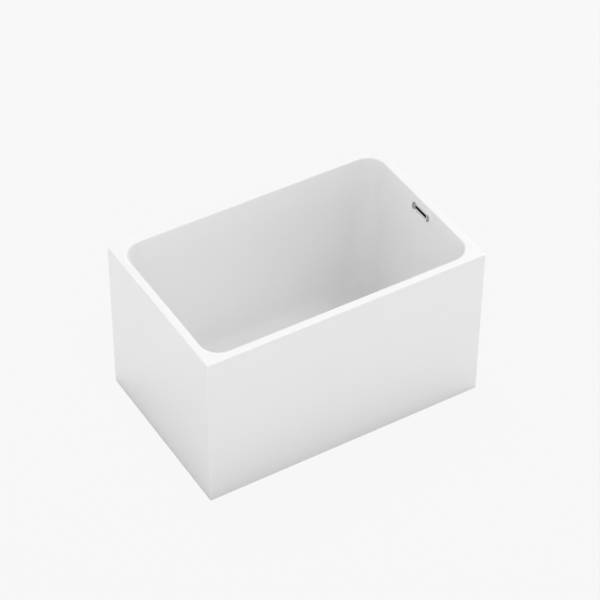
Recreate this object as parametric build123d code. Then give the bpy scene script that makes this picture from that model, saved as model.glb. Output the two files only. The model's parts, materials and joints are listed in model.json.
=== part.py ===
from build123d import *

import os
from math import asin, cos, radians, sin, tan

# Compact freestanding bathtub: a drafted acrylic basin bonded to a square-edged skirt, on a levelling steel
# frame, with a slotted overflow and a pop-up waste.
#
# Millimetres. The origin is on the ground under the middle of the tub: +X runs along the length towards the
# overflow, +Y across the width and +Z up.

# Overall sizes
LENGTH = 1100.0
WIDTH = 700.0
HEIGHT = 635.0
GROUND_GAP = 3.0  # between the ground and the skirt's lower edge

# Basin: acrylic sheet backed by a glass-fibre laminate
RIM_WIDTH = 32.0
OPENING_RADIUS = 72.0
FLOOR_HEIGHT = 100.0  # bathing floor at the drain, above the ground
FLOOR_CORNER_RADIUS = 88.0
FLOOR_FILLET = 60.0
FLOOR_FALL = 0.5  # degrees, down towards the drain end
WALL_DRAFT = 6.1  # degrees from upright
ACRYLIC = 5.0
LAMINATE = 3.0
RIM_INNER_ROUND = 6.0
RIM_OUTER_ROUND = 2.0

# Skirt
SKIRT_THICKNESS = 5.0
SKIRT_CORNER_RADIUS = 5.0

# Timber: floor board and the battens bonded inside the skirt and under the rim
BOARD_THICKNESS = 12.0
BOARD_MARGIN = 8.0  # from the board's edge to the start of the floor fillet
BOARD_CORNER_RADIUS = 40.0
BOARD_DRAIN_HOLE = 116.0
SKIRT_BATTEN_DEPTH = 15.0
SKIRT_BATTEN_HEIGHT = 40.0
SKIRT_BATTEN_GAP = 70.0  # between the two overflow-end battens, for the pipe
RIM_BATTEN_DEPTH = 13.0
RIM_BATTEN_HEIGHT = 15.0
GLUE_LINE = 0.5

# Steel frame of square tube
TUBE = 25.0
TUBE_WALL = 1.5
RAIL_Y = 245.0
CROSS_TUBES = 3
CROSS_FIRST_X = -372.0
CROSS_LAST_X = 225.0
BOARD_SCREW_INSET = 110.0  # from a cross tube's middle
BOARD_SCREW_DIAMETER = 5.0
SCREW_HEAD_DIAMETER = 10.0
SCREW_HEAD_HEIGHT = 3.0
SCREW_CLEARANCE = 0.25
BRACKET_LEG = 45.0
BRACKET_HEIGHT = 28.0
BRACKET_THICKNESS = 3.0
BRACKET_SCREW_LENGTH = 12.0
BRACKET_GAP = 2.0  # between a rail's end and its bracket's upstand
SKIRT_BATTEN_DROP = 6.0  # battens start this far below the brackets
SCREW_HEAD_ROUND = 1.8
SCREW_COVER = 3.0  # board left above the screws' holes
SCREW_END_GAP = 1.0  # between a screw's end and the end of its hole

# Levelling feet
FOOT_X = 425.0
STUD_DIAMETER = 12.0
STUD_CLEARANCE = 0.1
STUD_TOP_GAP = 3.5  # under the rail's upper wall
STUD_CHAMFER = 1.0
STUD_HOLE_CLEARANCE = 1.0
WELD_NUT_HEIGHT = 10.0
LOCK_NUT_HEIGHT = 6.0
LOCK_NUT_GAP = 0.2
NUT_ACROSS_FLATS = 19.0
SOLE_DIAMETER = 50.0
SOLE_HEIGHT = 3.0
PAD_DIAMETER = 46.0
PAD_FLANGE = 3.5
PAD_CHAMFER = 1.4
PAD_HUB_DIAMETER = 22.0
PAD_HUB_HEIGHT = 7.0
SOCKET_FLOOR = 2.0
COLLAR_ACROSS_FLATS = 17.0
COLLAR_HEIGHT = 5.0

# Waste
DRAIN_X = 330.0
RECESS_DEPTH = 5.0
RECESS_CLEARANCE = 3.0
FLANGE_DIAMETER = 78.0
FLANGE_THICKNESS = 3.0
FLANGE_ROUND = 1.5
MOUTH_CHAMFER = 1.5
SEALING_RING = 1.5  # under the flange
SEALING_RING_INSET = 2.0
BARREL_DIAMETER = 46.0
BARREL_WALL = 3.0
BARREL_CLEARANCE = 0.2
BARREL_END_GAP = 0.5
HOLE_CLEARANCE = 2.0
LOWER_GASKET = 3.0
GASKET_INSET = 1.0  # from the edge of what a gasket seals
WASTE_FLANGE_DIAMETER = 74.0
WASTE_FLANGE_THICKNESS = 4.0
WASTE_WALL = 4.0
BARREL_DEPTH = 14.0  # screwed into the waste body
SPIDER_THICKNESS = 4.0
SPIDER_INSET = 2.0  # above the barrel's lower end
SPIDER_ARM = 4.0
SPIDER_BOSS_RADIUS = 8.0
INLET_DROP = 24.0  # overflow inlet below the waste body's top
TAIL_DIAMETER = 40.0  # free end, that the house drain slips over
TAIL_NECK_DIAMETER = 39.0  # where the washer grips
TAIL_NECK_SHOWN = 2.0  # below the nut
TAIL_WALL = 2.0
TAIL_BOTTOM = 4.0
TAIL_ENGAGEMENT = 14.0
TAIL_END_GAP = 1.0
OUTLET_DROP = 50.0  # waste body's top to its threaded end
OUTLET_THREAD = 12.0
OUTLET_THREAD_SHOWN = 2.0  # above the nut
OUTLET_NUT_WALL = 3.5
OUTLET_NUT_LIP = 4.0
NUT_LIP_CLEARANCE = 0.4
OUTLET_WASHER = 4.0
WASHER_INSET = 0.5
WASHER_CLEARANCE = 0.1
FIT_CLEARANCE = 0.2

# Pop-up plug, drawn open
PLUG_TRAVEL = 10.0
PLUG_CLOSED_GAP = 0.3  # between the seal and the flange when shut
CAP_DIAMETER = 66.0
CAP_EDGE = 1.5
CAP_DOME = 3.5
SEAL_DIAMETER = 56.0
SEAL_THICKNESS = 2.5
HUB_RADIUS = 17.0
HUB_CLEARANCE = 0.1
HUB_BELOW_SEAL = 3.0
SLEEVE_RADIUS = 9.0
SLEEVE_BORE_RADIUS = 7.3
SLEEVE_STOP_GAP = 2.0  # sleeve above the spider when shut
POST_RADIUS = 4.0
POST_CLEARANCE = 0.1
POST_SHOULDER_RADIUS = 6.8
POST_SHOULDER_HEIGHT = 3.0
POST_ROOF_GAP = 2.0
SPRING_ROOF_WALL = 2.0
SPRING_WIRE = 1.2
SPRING_MEAN_RADIUS = 5.2
SPRING_TURNS = 7

# Overflow
OVERFLOW_DROP = 44.0  # slot's middle below the rim
BEZEL_LENGTH = 104.0
BEZEL_HEIGHT = 28.0
BEZEL_PROUD = 3.0
BEZEL_CORNER = 8.0
BEZEL_ROUND = 1.0
BEZEL_BORDER = 2.5  # flat band round the bevel
BEVEL_DEPTH = 5.0
SLOT_LENGTH = 64.0
SLOT_HEIGHT = 12.0
SLOT_CORNER = 3.0
SPIGOT_WALL = 2.0
SPIGOT_CLEARANCE = 1.0
SPIGOT_INTO_HOUSING = 2.5
OVERFLOW_GASKET = 1.5
HOUSING_LENGTH = 100.0
HOUSING_HEIGHT = 40.0
HOUSING_DEPTH = 15.0
HOUSING_WALL = 2.5
HOUSING_CORNER = 3.0
FUNNEL_LENGTH = 90.0
FUNNEL_SETBACK = 1.0  # behind the housing's front
THROAT_MARGIN = 1.0  # round the pipe socket
PIPE_DIAMETER = 25.0
PIPE_WALL = 2.0
SOCKET_WALL = 2.3
SOCKET_DEPTH = 20.0
SOCKET_STOP = 3.0  # from a pipe's end stop to the socket's root
PIPE_END_GAP = 0.5  # between a pipe and its end stop
PIPE_SKIRT_GAP = 5.5  # between the pipe and the skirt
ELBOW_RADIUS = 20.0
COUPLING_NUT_LENGTH = 14.0
COUPLING_NUT_WALL = 4.0
COUPLING_NUT_GAP = 0.5  # from its socket
NUT_GRIPS = 12
GRIP_RADIUS = 1.2

# Worked out from the sizes above
OVERRUN = 30.0  # deep cutting forms run past what they cut by this much
CUT = 1.0  # and shallow ones by this much
OPENING_LENGTH = LENGTH - 2 * RIM_WIDTH
OPENING_WIDTH = WIDTH - 2 * RIM_WIDTH
DRAFT = tan(radians(WALL_DRAFT))
SKIRT_TOP = HEIGHT - ACRYLIC
BOARD_TOP = FLOOR_HEIGHT - ACRYLIC - LAMINATE
RAIL_TOP = BOARD_TOP - BOARD_THICKNESS
RAIL_BOTTOM = RAIL_TOP - TUBE
FLANGE_SEAT = FLOOR_HEIGHT - RECESS_DEPTH
BOSS_BOTTOM = FLANGE_SEAT - ACRYLIC
LAMINATE_BOSS_BOTTOM = BOSS_BOTTOM - LAMINATE
WASTE_TOP = LAMINATE_BOSS_BOTTOM - LOWER_GASKET
FLANGE_TOP = FLANGE_SEAT + SEALING_RING + FLANGE_THICKNESS
BARREL_BOTTOM = WASTE_TOP - BARREL_DEPTH
SPIDER_TOP = BARREL_BOTTOM + SPIDER_INSET + SPIDER_THICKNESS
INLET_Z = WASTE_TOP - INLET_DROP
OUTLET_END = WASTE_TOP - OUTLET_DROP
OUTLET_NUT_LOW = OUTLET_END - OUTLET_WASHER - OUTLET_NUT_LIP
PIPE_X = LENGTH / 2 - SKIRT_THICKNESS - PIPE_SKIRT_GAP - PIPE_DIAMETER / 2
SOCKET_RADIUS = PIPE_DIAMETER / 2 + FIT_CLEARANCE + SOCKET_WALL
RAIL_LENGTH = LENGTH - 2 * (SKIRT_THICKNESS + SKIRT_BATTEN_DEPTH + BRACKET_THICKNESS + BRACKET_GAP)
SKIRT_BATTEN_Z = RAIL_BOTTOM - BRACKET_THICKNESS - SKIRT_BATTEN_DROP
WALL_BUILD = (ACRYLIC + LAMINATE) * cos(radians(WALL_DRAFT))  # across the wall


def section(z, grow):
    """The basin's outline at height z, moved outwards by grow."""
    up = (z - HEIGHT) * DRAFT
    share = (HEIGHT - z) / (HEIGHT - FLOOR_HEIGHT)
    radius = OPENING_RADIUS + (FLOOR_CORNER_RADIUS - OPENING_RADIUS) * share + grow
    outline = RectangleRounded(
        OPENING_LENGTH + 2 * (up + grow), OPENING_WIDTH + 2 * (up + grow), radius
    )
    return Pos(0, 0, z) * outline


def floor_plane(drop):
    """The bathing floor's plane, lowered by drop: it falls towards the drain and is level across."""
    fall = radians(FLOOR_FALL)
    return Plane(
        origin=(DRAIN_X, 0, FLOOR_HEIGHT - drop),
        x_dir=(cos(fall), 0, -sin(fall)),
        z_dir=(sin(fall), 0, cos(fall)),
    )


def basin_form(grow, top):
    """A solid that fills the basin up to z = top, with every face moved outwards by grow."""
    block = loft([section(FLOOR_HEIGHT - OVERRUN, grow), section(top, grow)], ruled=True)
    block = split(block, bisect_by=floor_plane(grow), keep=Keep.TOP)
    floor = block.faces().sort_by(Axis.Z)[0]
    return fillet(floor.edges(), FLOOR_FILLET + grow)


def upright(radius, low, high, x=0.0, y=0.0):
    """A cylinder on a vertical axis between two heights."""
    return Pos(x, y, (low + high) / 2) * Cylinder(radius, high - low)


def along_x(radius, start, end, y, z):
    """A cylinder along X between two places."""
    return Pos((start + end) / 2, y, z) * Rot(0, 90, 0) * Cylinder(radius, end - start)


def block(x0, x1, y0, y1, z0, z1):
    """A box between two corners, given in either order."""
    return Pos((x0 + x1) / 2, (y0 + y1) / 2, (z0 + z1) / 2) * Box(abs(x1 - x0), abs(y1 - y0), abs(z1 - z0))


def hexagon(across_flats, low, high, x=0.0, y=0.0):
    """A hexagonal prism on a vertical axis."""
    outline = RegularPolygon(across_flats / 2, 6, major_radius=False)
    return extrude(Pos(x, y, low) * outline, high - low)


def grip_ring(radius, wall, low, high):
    """A ring on the Z axis with shallow grip grooves round its outside."""
    ring = upright(radius + wall, low, high) - upright(radius, low, high)
    for i in range(NUT_GRIPS):
        ring -= Rot(0, 0, 360 * i / NUT_GRIPS) * upright(GRIP_RADIUS, low, high, radius + wall)
    return ring


def wall_frame():
    """Local frame on the overflow end's wall: X across the tub, Y up the wall, Z into the basin."""
    lean = radians(WALL_DRAFT)
    return Plane(
        origin=(OPENING_LENGTH / 2 - OVERFLOW_DROP * DRAFT, 0, HEIGHT - OVERFLOW_DROP),
        x_dir=(0, -1, 0),
        z_dir=(-cos(lean), 0, sin(lean)),
    )


def wall_bar(length, height, corner, near, far):
    """A rounded bar through the overflow wall, between two depths in the wall's own frame."""
    return wall_frame() * (Pos(0, 0, near) * extrude(RectangleRounded(length, height, corner), far - near))


def spigot_outline(grow):
    """Length, height and corner radius of the bezel's rear spigot, grown all round."""
    more = 2 * (SPIGOT_WALL + grow)
    return SLOT_LENGTH + more, SLOT_HEIGHT + more, SLOT_CORNER + SPIGOT_WALL + grow


def wall_opening():
    """What the overflow slot takes out of the basin's wall."""
    return wall_bar(*spigot_outline(SPIGOT_CLEARANCE), -WALL_BUILD - OVERRUN, OVERRUN)


def drain_opening(low):
    """What the waste takes out of the basin's floor."""
    recess = upright(FLANGE_DIAMETER / 2 + RECESS_CLEARANCE, FLANGE_SEAT, FLOOR_HEIGHT + OVERRUN, DRAIN_X)
    hole = upright(BARREL_DIAMETER / 2 + HOLE_CLEARANCE, low, FLOOR_HEIGHT + OVERRUN, DRAIN_X)
    return recess, hole


def drain_boss(grow, low):
    """The shell's thickening round the drain recess."""
    radius = FLANGE_DIAMETER / 2 + RECESS_CLEARANCE + ACRYLIC + grow
    return upright(radius, low, FLOOR_HEIGHT - ACRYLIC / 2, DRAIN_X)


def basin():
    """Acrylic basin and its flat rim."""
    rim = extrude(Pos(0, 0, SKIRT_TOP) * RectangleRounded(LENGTH, WIDTH, SKIRT_CORNER_RADIUS), ACRYLIC)
    recess, hole = drain_opening(BOSS_BOTTOM - OVERRUN)
    shell = rim + basin_form(ACRYLIC, HEIGHT - ACRYLIC / 2) + drain_boss(0, BOSS_BOTTOM)
    shell = shell - basin_form(0, HEIGHT + OVERRUN) - recess - hole
    top = shell.faces().filter_by(Axis.Z).sort_by(Axis.Z)[-1]
    inner = [edge for wire in top.inner_wires() for edge in wire.edges()]
    shell = fillet(inner, RIM_INNER_ROUND)
    top = shell.faces().filter_by(Axis.Z).sort_by(Axis.Z)[-1]
    outer = top.outer_wire().edges()
    shell = fillet(outer, RIM_OUTER_ROUND)
    return shell - wall_opening()


def laminate():
    """Glass-fibre backing laid over the basin's outside."""
    recess, hole = drain_opening(LAMINATE_BOSS_BOTTOM - OVERRUN)
    outside = basin_form(ACRYLIC + LAMINATE, SKIRT_TOP) + drain_boss(LAMINATE, LAMINATE_BOSS_BOTTOM)
    inside = basin_form(ACRYLIC, SKIRT_TOP + OVERRUN) + drain_boss(0, BOSS_BOTTOM)
    return outside - inside - hole - wall_opening()


def skirt():
    """Outer apron: four upright walls that carry the rim."""
    height = SKIRT_TOP - GROUND_GAP
    outline = RectangleRounded(LENGTH, WIDTH, SKIRT_CORNER_RADIUS)
    hollow = Rectangle(LENGTH - 2 * SKIRT_THICKNESS, WIDTH - 2 * SKIRT_THICKNESS)
    return extrude(Pos(0, 0, GROUND_GAP) * (outline - hollow), height)


def skirt_battens():
    """Timber battens bonded inside the skirt, level with the frame; the overflow end's is in two."""
    low, high = SKIRT_BATTEN_Z, SKIRT_BATTEN_Z + SKIRT_BATTEN_HEIGHT
    x1 = LENGTH / 2 - SKIRT_THICKNESS - GLUE_LINE
    y1 = WIDTH / 2 - SKIRT_THICKNESS - GLUE_LINE
    x0, y0 = x1 - SKIRT_BATTEN_DEPTH, y1 - SKIRT_BATTEN_DEPTH
    pieces = [block(-x1, x1, side * y1, side * y0, low, high) for side in (-1, 1)]
    end = y0 - GLUE_LINE
    pieces.append(block(-x1, -x0, -end, end, low, high))
    for side in (-1, 1):
        pieces.append(block(x0, x1, side * SKIRT_BATTEN_GAP / 2, side * end, low, high))
    return pieces


def rim_battens():
    """Timber strips under the rim, between the basin and the skirt."""
    low, high = SKIRT_TOP - RIM_BATTEN_HEIGHT, SKIRT_TOP
    x1 = LENGTH / 2 - SKIRT_THICKNESS - GLUE_LINE
    y1 = WIDTH / 2 - SKIRT_THICKNESS - GLUE_LINE
    x0, y0 = x1 - RIM_BATTEN_DEPTH, y1 - RIM_BATTEN_DEPTH
    pieces = []
    for side in (-1, 1):
        pieces.append(block(-x1, x1, side * y1, side * y0, low, high))
        pieces.append(block(side * x1, side * x0, -y0 + GLUE_LINE, y0 - GLUE_LINE, low, high))
    return pieces


def board_reach():
    """Half length and half width of the flat floor that the board covers."""
    lift = (HEIGHT - FLOOR_HEIGHT) * DRAFT
    inset = lift + FLOOR_FILLET + BOARD_MARGIN
    return OPENING_LENGTH / 2 - inset, OPENING_WIDTH / 2 - inset


def floor_board():
    """Board bonded under the basin floor: its top follows the floor's fall and its underside is level."""
    half_x, half_y = board_reach()
    outline = RectangleRounded(2 * half_x, 2 * half_y, BOARD_CORNER_RADIUS)
    slab = extrude(Pos(0, 0, RAIL_TOP) * outline, BOARD_THICKNESS + OVERRUN)
    slab = split(slab, bisect_by=floor_plane(ACRYLIC + LAMINATE), keep=Keep.BOTTOM)
    slab -= upright(BOARD_DRAIN_HOLE / 2, RAIL_TOP - CUT, BOARD_TOP + OVERRUN, DRAIN_X)
    for x, y in board_screw_places():
        slab -= upright(screw_hole(), RAIL_TOP - CUT, screw_hole_top(), x, y)
    return slab


def cross_places():
    """X of each cross tube."""
    step = (CROSS_LAST_X - CROSS_FIRST_X) / (CROSS_TUBES - 1)
    return [CROSS_FIRST_X + step * i for i in range(CROSS_TUBES)]


def board_screw_places():
    """Where the board screws stand, two to a cross tube."""
    return [(x, side * BOARD_SCREW_INSET) for x in cross_places() for side in (-1, 1)]


def screw_hole():
    """Radius of the screws' holes."""
    return BOARD_SCREW_DIAMETER / 2 + SCREW_CLEARANCE


def screw_hole_top():
    """Height of the blind ends of the board screws' holes."""
    return RAIL_TOP + BOARD_THICKNESS - SCREW_COVER


def feet_places():
    """Where the four feet stand."""
    return [(sx * FOOT_X, sy * RAIL_Y) for sx in (-1, 1) for sy in (-1, 1)]


def bracket_screw_x():
    """Distance from the middle to the screw that holds a bracket to its rail."""
    return RAIL_LENGTH / 2 - BRACKET_LEG / 2


def rail(side):
    """Long rail of the frame, drilled for its two feet and bracket screws."""
    half, mid = RAIL_LENGTH / 2, side * RAIL_Y
    tube = block(-half, half, mid - TUBE / 2, mid + TUBE / 2, RAIL_BOTTOM, RAIL_TOP)
    hollow = TUBE / 2 - TUBE_WALL
    tube -= block(-half, half, mid - hollow, mid + hollow, RAIL_BOTTOM + TUBE_WALL, RAIL_TOP - TUBE_WALL)
    above = RAIL_BOTTOM + TUBE_WALL + CUT
    for end in (-1, 1):
        tube -= upright(STUD_DIAMETER / 2 + STUD_HOLE_CLEARANCE, RAIL_BOTTOM - CUT, above, end * FOOT_X, mid)
        tube -= upright(screw_hole(), RAIL_BOTTOM - CUT, above, end * bracket_screw_x(), mid)
    return tube


def cross_tube(x):
    """Cross tube butt-welded between the rails, drilled for two board screws."""
    half = RAIL_Y - TUBE / 2
    tube = block(x - TUBE / 2, x + TUBE / 2, -half, half, RAIL_BOTTOM, RAIL_TOP)
    hollow = TUBE / 2 - TUBE_WALL
    tube -= block(x - hollow, x + hollow, -half, half, RAIL_BOTTOM + TUBE_WALL, RAIL_TOP - TUBE_WALL)
    for side in (-1, 1):
        tube -= upright(screw_hole(), RAIL_BOTTOM - CUT, RAIL_TOP + CUT, x, side * BOARD_SCREW_INSET)
    return tube


def screw_head(high, x, y):
    """Pan head of a screw that points up, under a face at height high."""
    head = upright(SCREW_HEAD_DIAMETER / 2, high - SCREW_HEAD_HEIGHT, high, x, y)
    return fillet(head.edges().group_by(Axis.Z)[0], SCREW_HEAD_ROUND)


def board_screws():
    """Pan-head screws up through the cross tubes into the board."""
    pieces = []
    for x, y in board_screw_places():
        shank = upright(BOARD_SCREW_DIAMETER / 2, RAIL_BOTTOM, screw_hole_top() - SCREW_END_GAP, x, y)
        pieces.append(screw_head(RAIL_BOTTOM, x, y) + shank)
    return pieces


def skirt_brackets():
    """Angle brackets from the rail ends to the skirt's end battens."""
    pieces = []
    outer = LENGTH / 2 - SKIRT_THICKNESS - GLUE_LINE - SKIRT_BATTEN_DEPTH
    low = RAIL_BOTTOM - BRACKET_THICKNESS
    for end in (-1, 1):
        for side in (-1, 1):
            y0, y1 = side * RAIL_Y - TUBE / 2, side * RAIL_Y + TUBE / 2
            leg = block(end * (outer - BRACKET_LEG), end * outer, y0, y1, low, RAIL_BOTTOM)
            upstand = block(end * (outer - BRACKET_THICKNESS), end * outer, y0, y1, low, low + BRACKET_HEIGHT)
            hole = upright(screw_hole(), low - CUT, RAIL_BOTTOM + CUT, end * bracket_screw_x(), side * RAIL_Y)
            pieces.append(leg + upstand - hole)
    return pieces


def bracket_screws():
    """Screws up through the brackets into the rails' lower walls."""
    pieces = []
    low = RAIL_BOTTOM - BRACKET_THICKNESS
    for end in (-1, 1):
        for side in (-1, 1):
            x, y = end * bracket_screw_x(), side * RAIL_Y
            shank = upright(BOARD_SCREW_DIAMETER / 2, low, low + BRACKET_SCREW_LENGTH, x, y)
            pieces.append(screw_head(low, x, y) + shank)
    return pieces


def weld_nuts():
    """Hexagon nuts welded under the rails for the feet."""
    bore = STUD_DIAMETER / 2 + STUD_CLEARANCE
    low = RAIL_BOTTOM - WELD_NUT_HEIGHT
    return [
        hexagon(NUT_ACROSS_FLATS, low, RAIL_BOTTOM, x, y) - upright(bore, low - CUT, RAIL_BOTTOM + CUT, x, y)
        for x, y in feet_places()
    ]


def lock_nuts():
    """Thin nuts that lock the feet's studs under the weld nuts."""
    bore = STUD_DIAMETER / 2 + STUD_CLEARANCE
    high = RAIL_BOTTOM - WELD_NUT_HEIGHT - LOCK_NUT_GAP
    low = high - LOCK_NUT_HEIGHT
    return [
        hexagon(NUT_ACROSS_FLATS, low, high, x, y) - upright(bore, low - CUT, high + CUT, x, y)
        for x, y in feet_places()
    ]


def foot_sole(x, y):
    """Rubber sole under a foot."""
    return upright(SOLE_DIAMETER / 2, 0, SOLE_HEIGHT, x, y)


def pad_top():
    """Height of a foot pad's hub."""
    return SOLE_HEIGHT + PAD_FLANGE + PAD_HUB_HEIGHT


def foot_pad(x, y):
    """Moulded pad with the socket that its stud turns in."""
    flange = upright(PAD_DIAMETER / 2, SOLE_HEIGHT, SOLE_HEIGHT + PAD_FLANGE, x, y)
    flange = chamfer(flange.edges().group_by(Axis.Z)[-1], PAD_CHAMFER)
    hub = upright(PAD_HUB_DIAMETER / 2, SOLE_HEIGHT, pad_top(), x, y)
    socket = upright(STUD_DIAMETER / 2 + STUD_CLEARANCE, SOLE_HEIGHT + SOCKET_FLOOR, pad_top() + CUT, x, y)
    return flange + hub - socket


def foot_stud(x, y):
    """Threaded stud with a hexagonal collar to turn it by."""
    top = RAIL_TOP - TUBE_WALL - STUD_TOP_GAP
    low = SOLE_HEIGHT + SOCKET_FLOOR + STUD_CLEARANCE
    rod = upright(STUD_DIAMETER / 2, low, top, x, y)
    rod = chamfer(rod.edges().group_by(Axis.Z)[-1], STUD_CHAMFER)
    collar = pad_top() + STUD_CLEARANCE
    return rod + hexagon(COLLAR_ACROSS_FLATS, collar, collar + COLLAR_HEIGHT, x, y)


def sealing_ring():
    """Flat silicone ring between the drain flange and the basin."""
    low, high = FLANGE_SEAT, FLANGE_SEAT + SEALING_RING
    inner = BARREL_DIAMETER / 2 + FIT_CLEARANCE
    ring = upright(FLANGE_DIAMETER / 2 - SEALING_RING_INSET, low, high, DRAIN_X)
    return ring - upright(inner, low - CUT, high + CUT, DRAIN_X)


def drain_flange():
    """Chromed flange, threaded barrel and the spider that holds the plug's post."""
    plate = upright(FLANGE_DIAMETER / 2, FLANGE_TOP - FLANGE_THICKNESS, FLANGE_TOP, DRAIN_X)
    plate = fillet(plate.edges().group_by(Axis.Z)[-1], FLANGE_ROUND)
    bore = BARREL_DIAMETER / 2 - BARREL_WALL
    barrel = upright(BARREL_DIAMETER / 2, BARREL_BOTTOM, FLANGE_TOP - FLANGE_THICKNESS, DRAIN_X)
    tube = plate + barrel - upright(bore, BARREL_BOTTOM - CUT, FLANGE_TOP + CUT, DRAIN_X)
    mouth = tube.edges().filter_by(GeomType.CIRCLE).group_by(Axis.Z)[-1].sort_by(SortBy.RADIUS)[0]
    tube = chamfer(mouth, MOUTH_CHAMFER)
    low = SPIDER_TOP - SPIDER_THICKNESS
    reach, half = bore + CUT, SPIDER_ARM / 2
    arms = block(DRAIN_X - reach, DRAIN_X + reach, -half, half, low, SPIDER_TOP)
    arms += block(DRAIN_X - half, DRAIN_X + half, -reach, reach, low, SPIDER_TOP)
    hub = upright(SPIDER_BOSS_RADIUS, low, SPIDER_TOP, DRAIN_X)
    return tube + arms + hub - upright(POST_RADIUS + POST_CLEARANCE, low - CUT, SPIDER_TOP + CUT, DRAIN_X)


def lower_gasket():
    """Rubber gasket between the laminate and the waste body."""
    inner = BARREL_DIAMETER / 2 + FIT_CLEARANCE
    ring = upright(WASTE_FLANGE_DIAMETER / 2 - GASKET_INSET, WASTE_TOP, LAMINATE_BOSS_BOTTOM, DRAIN_X)
    return ring - upright(inner, WASTE_TOP - CUT, LAMINATE_BOSS_BOTTOM + CUT, DRAIN_X)


def waste_socket_end():
    """X of the mouth of the waste body's overflow inlet."""
    return DRAIN_X + BARREL_DIAMETER / 2 + WASTE_WALL + SOCKET_DEPTH


def outlet_thread_radius():
    """Radius of the waste body's outlet thread."""
    return TAIL_NECK_DIAMETER / 2 + FIT_CLEARANCE + WASTE_WALL


def waste_body():
    """Moulded body under the drain: barrel seat, overflow inlet and threaded outlet."""
    seat = BARREL_DIAMETER / 2 + BARREL_CLEARANCE
    step = OUTLET_END + OUTLET_THREAD
    body = upright(WASTE_FLANGE_DIAMETER / 2, WASTE_TOP - WASTE_FLANGE_THICKNESS, WASTE_TOP, DRAIN_X)
    body += upright(seat + WASTE_WALL, step, WASTE_TOP, DRAIN_X)
    body += upright(outlet_thread_radius(), OUTLET_END, WASTE_TOP, DRAIN_X)
    mouth = waste_socket_end()
    body += along_x(SOCKET_RADIUS, DRAIN_X + seat, mouth, 0, INLET_Z)
    body -= upright(seat, BARREL_BOTTOM - BARREL_END_GAP, WASTE_TOP + CUT, DRAIN_X)
    body -= upright(TAIL_DIAMETER / 2 - TAIL_WALL, OUTLET_END, BARREL_BOTTOM, DRAIN_X)
    neck = TAIL_NECK_DIAMETER / 2 + FIT_CLEARANCE
    body -= upright(neck, OUTLET_END - CUT, OUTLET_END + TAIL_ENGAGEMENT, DRAIN_X)
    body -= along_x(PIPE_DIAMETER / 2 - PIPE_WALL, DRAIN_X, mouth + CUT, 0, INLET_Z)
    stop = mouth - SOCKET_DEPTH + SOCKET_STOP
    return body - along_x(PIPE_DIAMETER / 2 + FIT_CLEARANCE, stop, mouth + CUT, 0, INLET_Z)


def outlet_washer():
    """Rubber washer that the outlet nut squeezes onto the tail pipe."""
    low = OUTLET_END - OUTLET_WASHER
    outer = upright(outlet_thread_radius() - WASHER_INSET, low, OUTLET_END, DRAIN_X)
    return outer - upright(TAIL_NECK_DIAMETER / 2 + WASHER_CLEARANCE, low - CUT, OUTLET_END + CUT, DRAIN_X)


def outlet_nut():
    """Grip nut round the waste outlet and the tail pipe."""
    thread = outlet_thread_radius() + FIT_CLEARANCE
    high = OUTLET_END + OUTLET_THREAD - OUTLET_THREAD_SHOWN
    nut = grip_ring(thread, OUTLET_NUT_WALL, OUTLET_NUT_LOW, high)
    lip_top = OUTLET_NUT_LOW + OUTLET_NUT_LIP
    nut += upright(thread + CUT, OUTLET_NUT_LOW, lip_top)
    nut -= upright(TAIL_NECK_DIAMETER / 2 + NUT_LIP_CLEARANCE, OUTLET_NUT_LOW - CUT, lip_top + CUT)
    return Pos(DRAIN_X, 0, 0) * nut


def tail_pipe():
    """Short outlet pipe: a free end that the house drain slips over, and a neck that the washer grips."""
    high = OUTLET_END + TAIL_ENGAGEMENT - TAIL_END_GAP
    shoulder = OUTLET_NUT_LOW - TAIL_NECK_SHOWN
    pipe = upright(TAIL_DIAMETER / 2, TAIL_BOTTOM, shoulder, DRAIN_X)
    pipe += upright(TAIL_NECK_DIAMETER / 2, shoulder, high, DRAIN_X)
    return pipe - upright(TAIL_DIAMETER / 2 - TAIL_WALL, TAIL_BOTTOM - CUT, high + CUT, DRAIN_X)


def seal_bottom():
    """Height of the seal's lower face with the plug open."""
    return FLANGE_TOP + PLUG_CLOSED_GAP + PLUG_TRAVEL


def roof_height():
    """Height of the sleeve's blind end, inside the cap's hub, with the plug open."""
    return seal_bottom() + SEAL_THICKNESS - SPRING_ROOF_WALL


def plug_cap():
    """Domed chrome cap with the hub and the sleeve that slides over the post."""
    low = seal_bottom() + SEAL_THICKNESS
    edge, top = low + CAP_EDGE, low + CAP_EDGE + CAP_DOME
    half = CAP_DIAMETER / 2
    hub_low = seal_bottom() - HUB_BELOW_SEAL
    sleeve_low = SPIDER_TOP + SLEEVE_STOP_GAP + PLUG_TRAVEL
    roof = roof_height()
    steps = [(0, top), (0, roof), (SLEEVE_BORE_RADIUS, roof), (SLEEVE_BORE_RADIUS, sleeve_low)]
    steps += [(SLEEVE_RADIUS, sleeve_low), (SLEEVE_RADIUS, hub_low), (HUB_RADIUS, hub_low)]
    steps += [(HUB_RADIUS, low), (half, low), (half, edge)]
    radius = (half**2 + CAP_DOME**2) / (2 * CAP_DOME)
    turn = asin(half / radius) / 2
    middle = (radius * sin(turn), top - radius + radius * cos(turn))
    dome = ThreePointArc((half, edge), middle, (0, top))
    profile = make_face(Polyline(*steps) + dome)
    return Pos(DRAIN_X, 0, 0) * revolve(Plane.XZ * profile, Axis.Z)


def plug_seal():
    """Flat rubber washer under the cap."""
    low, high = seal_bottom(), seal_bottom() + SEAL_THICKNESS
    washer = upright(SEAL_DIAMETER / 2, low, high, DRAIN_X)
    return washer - upright(HUB_RADIUS + HUB_CLEARANCE, low - CUT, high + CUT, DRAIN_X)


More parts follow.
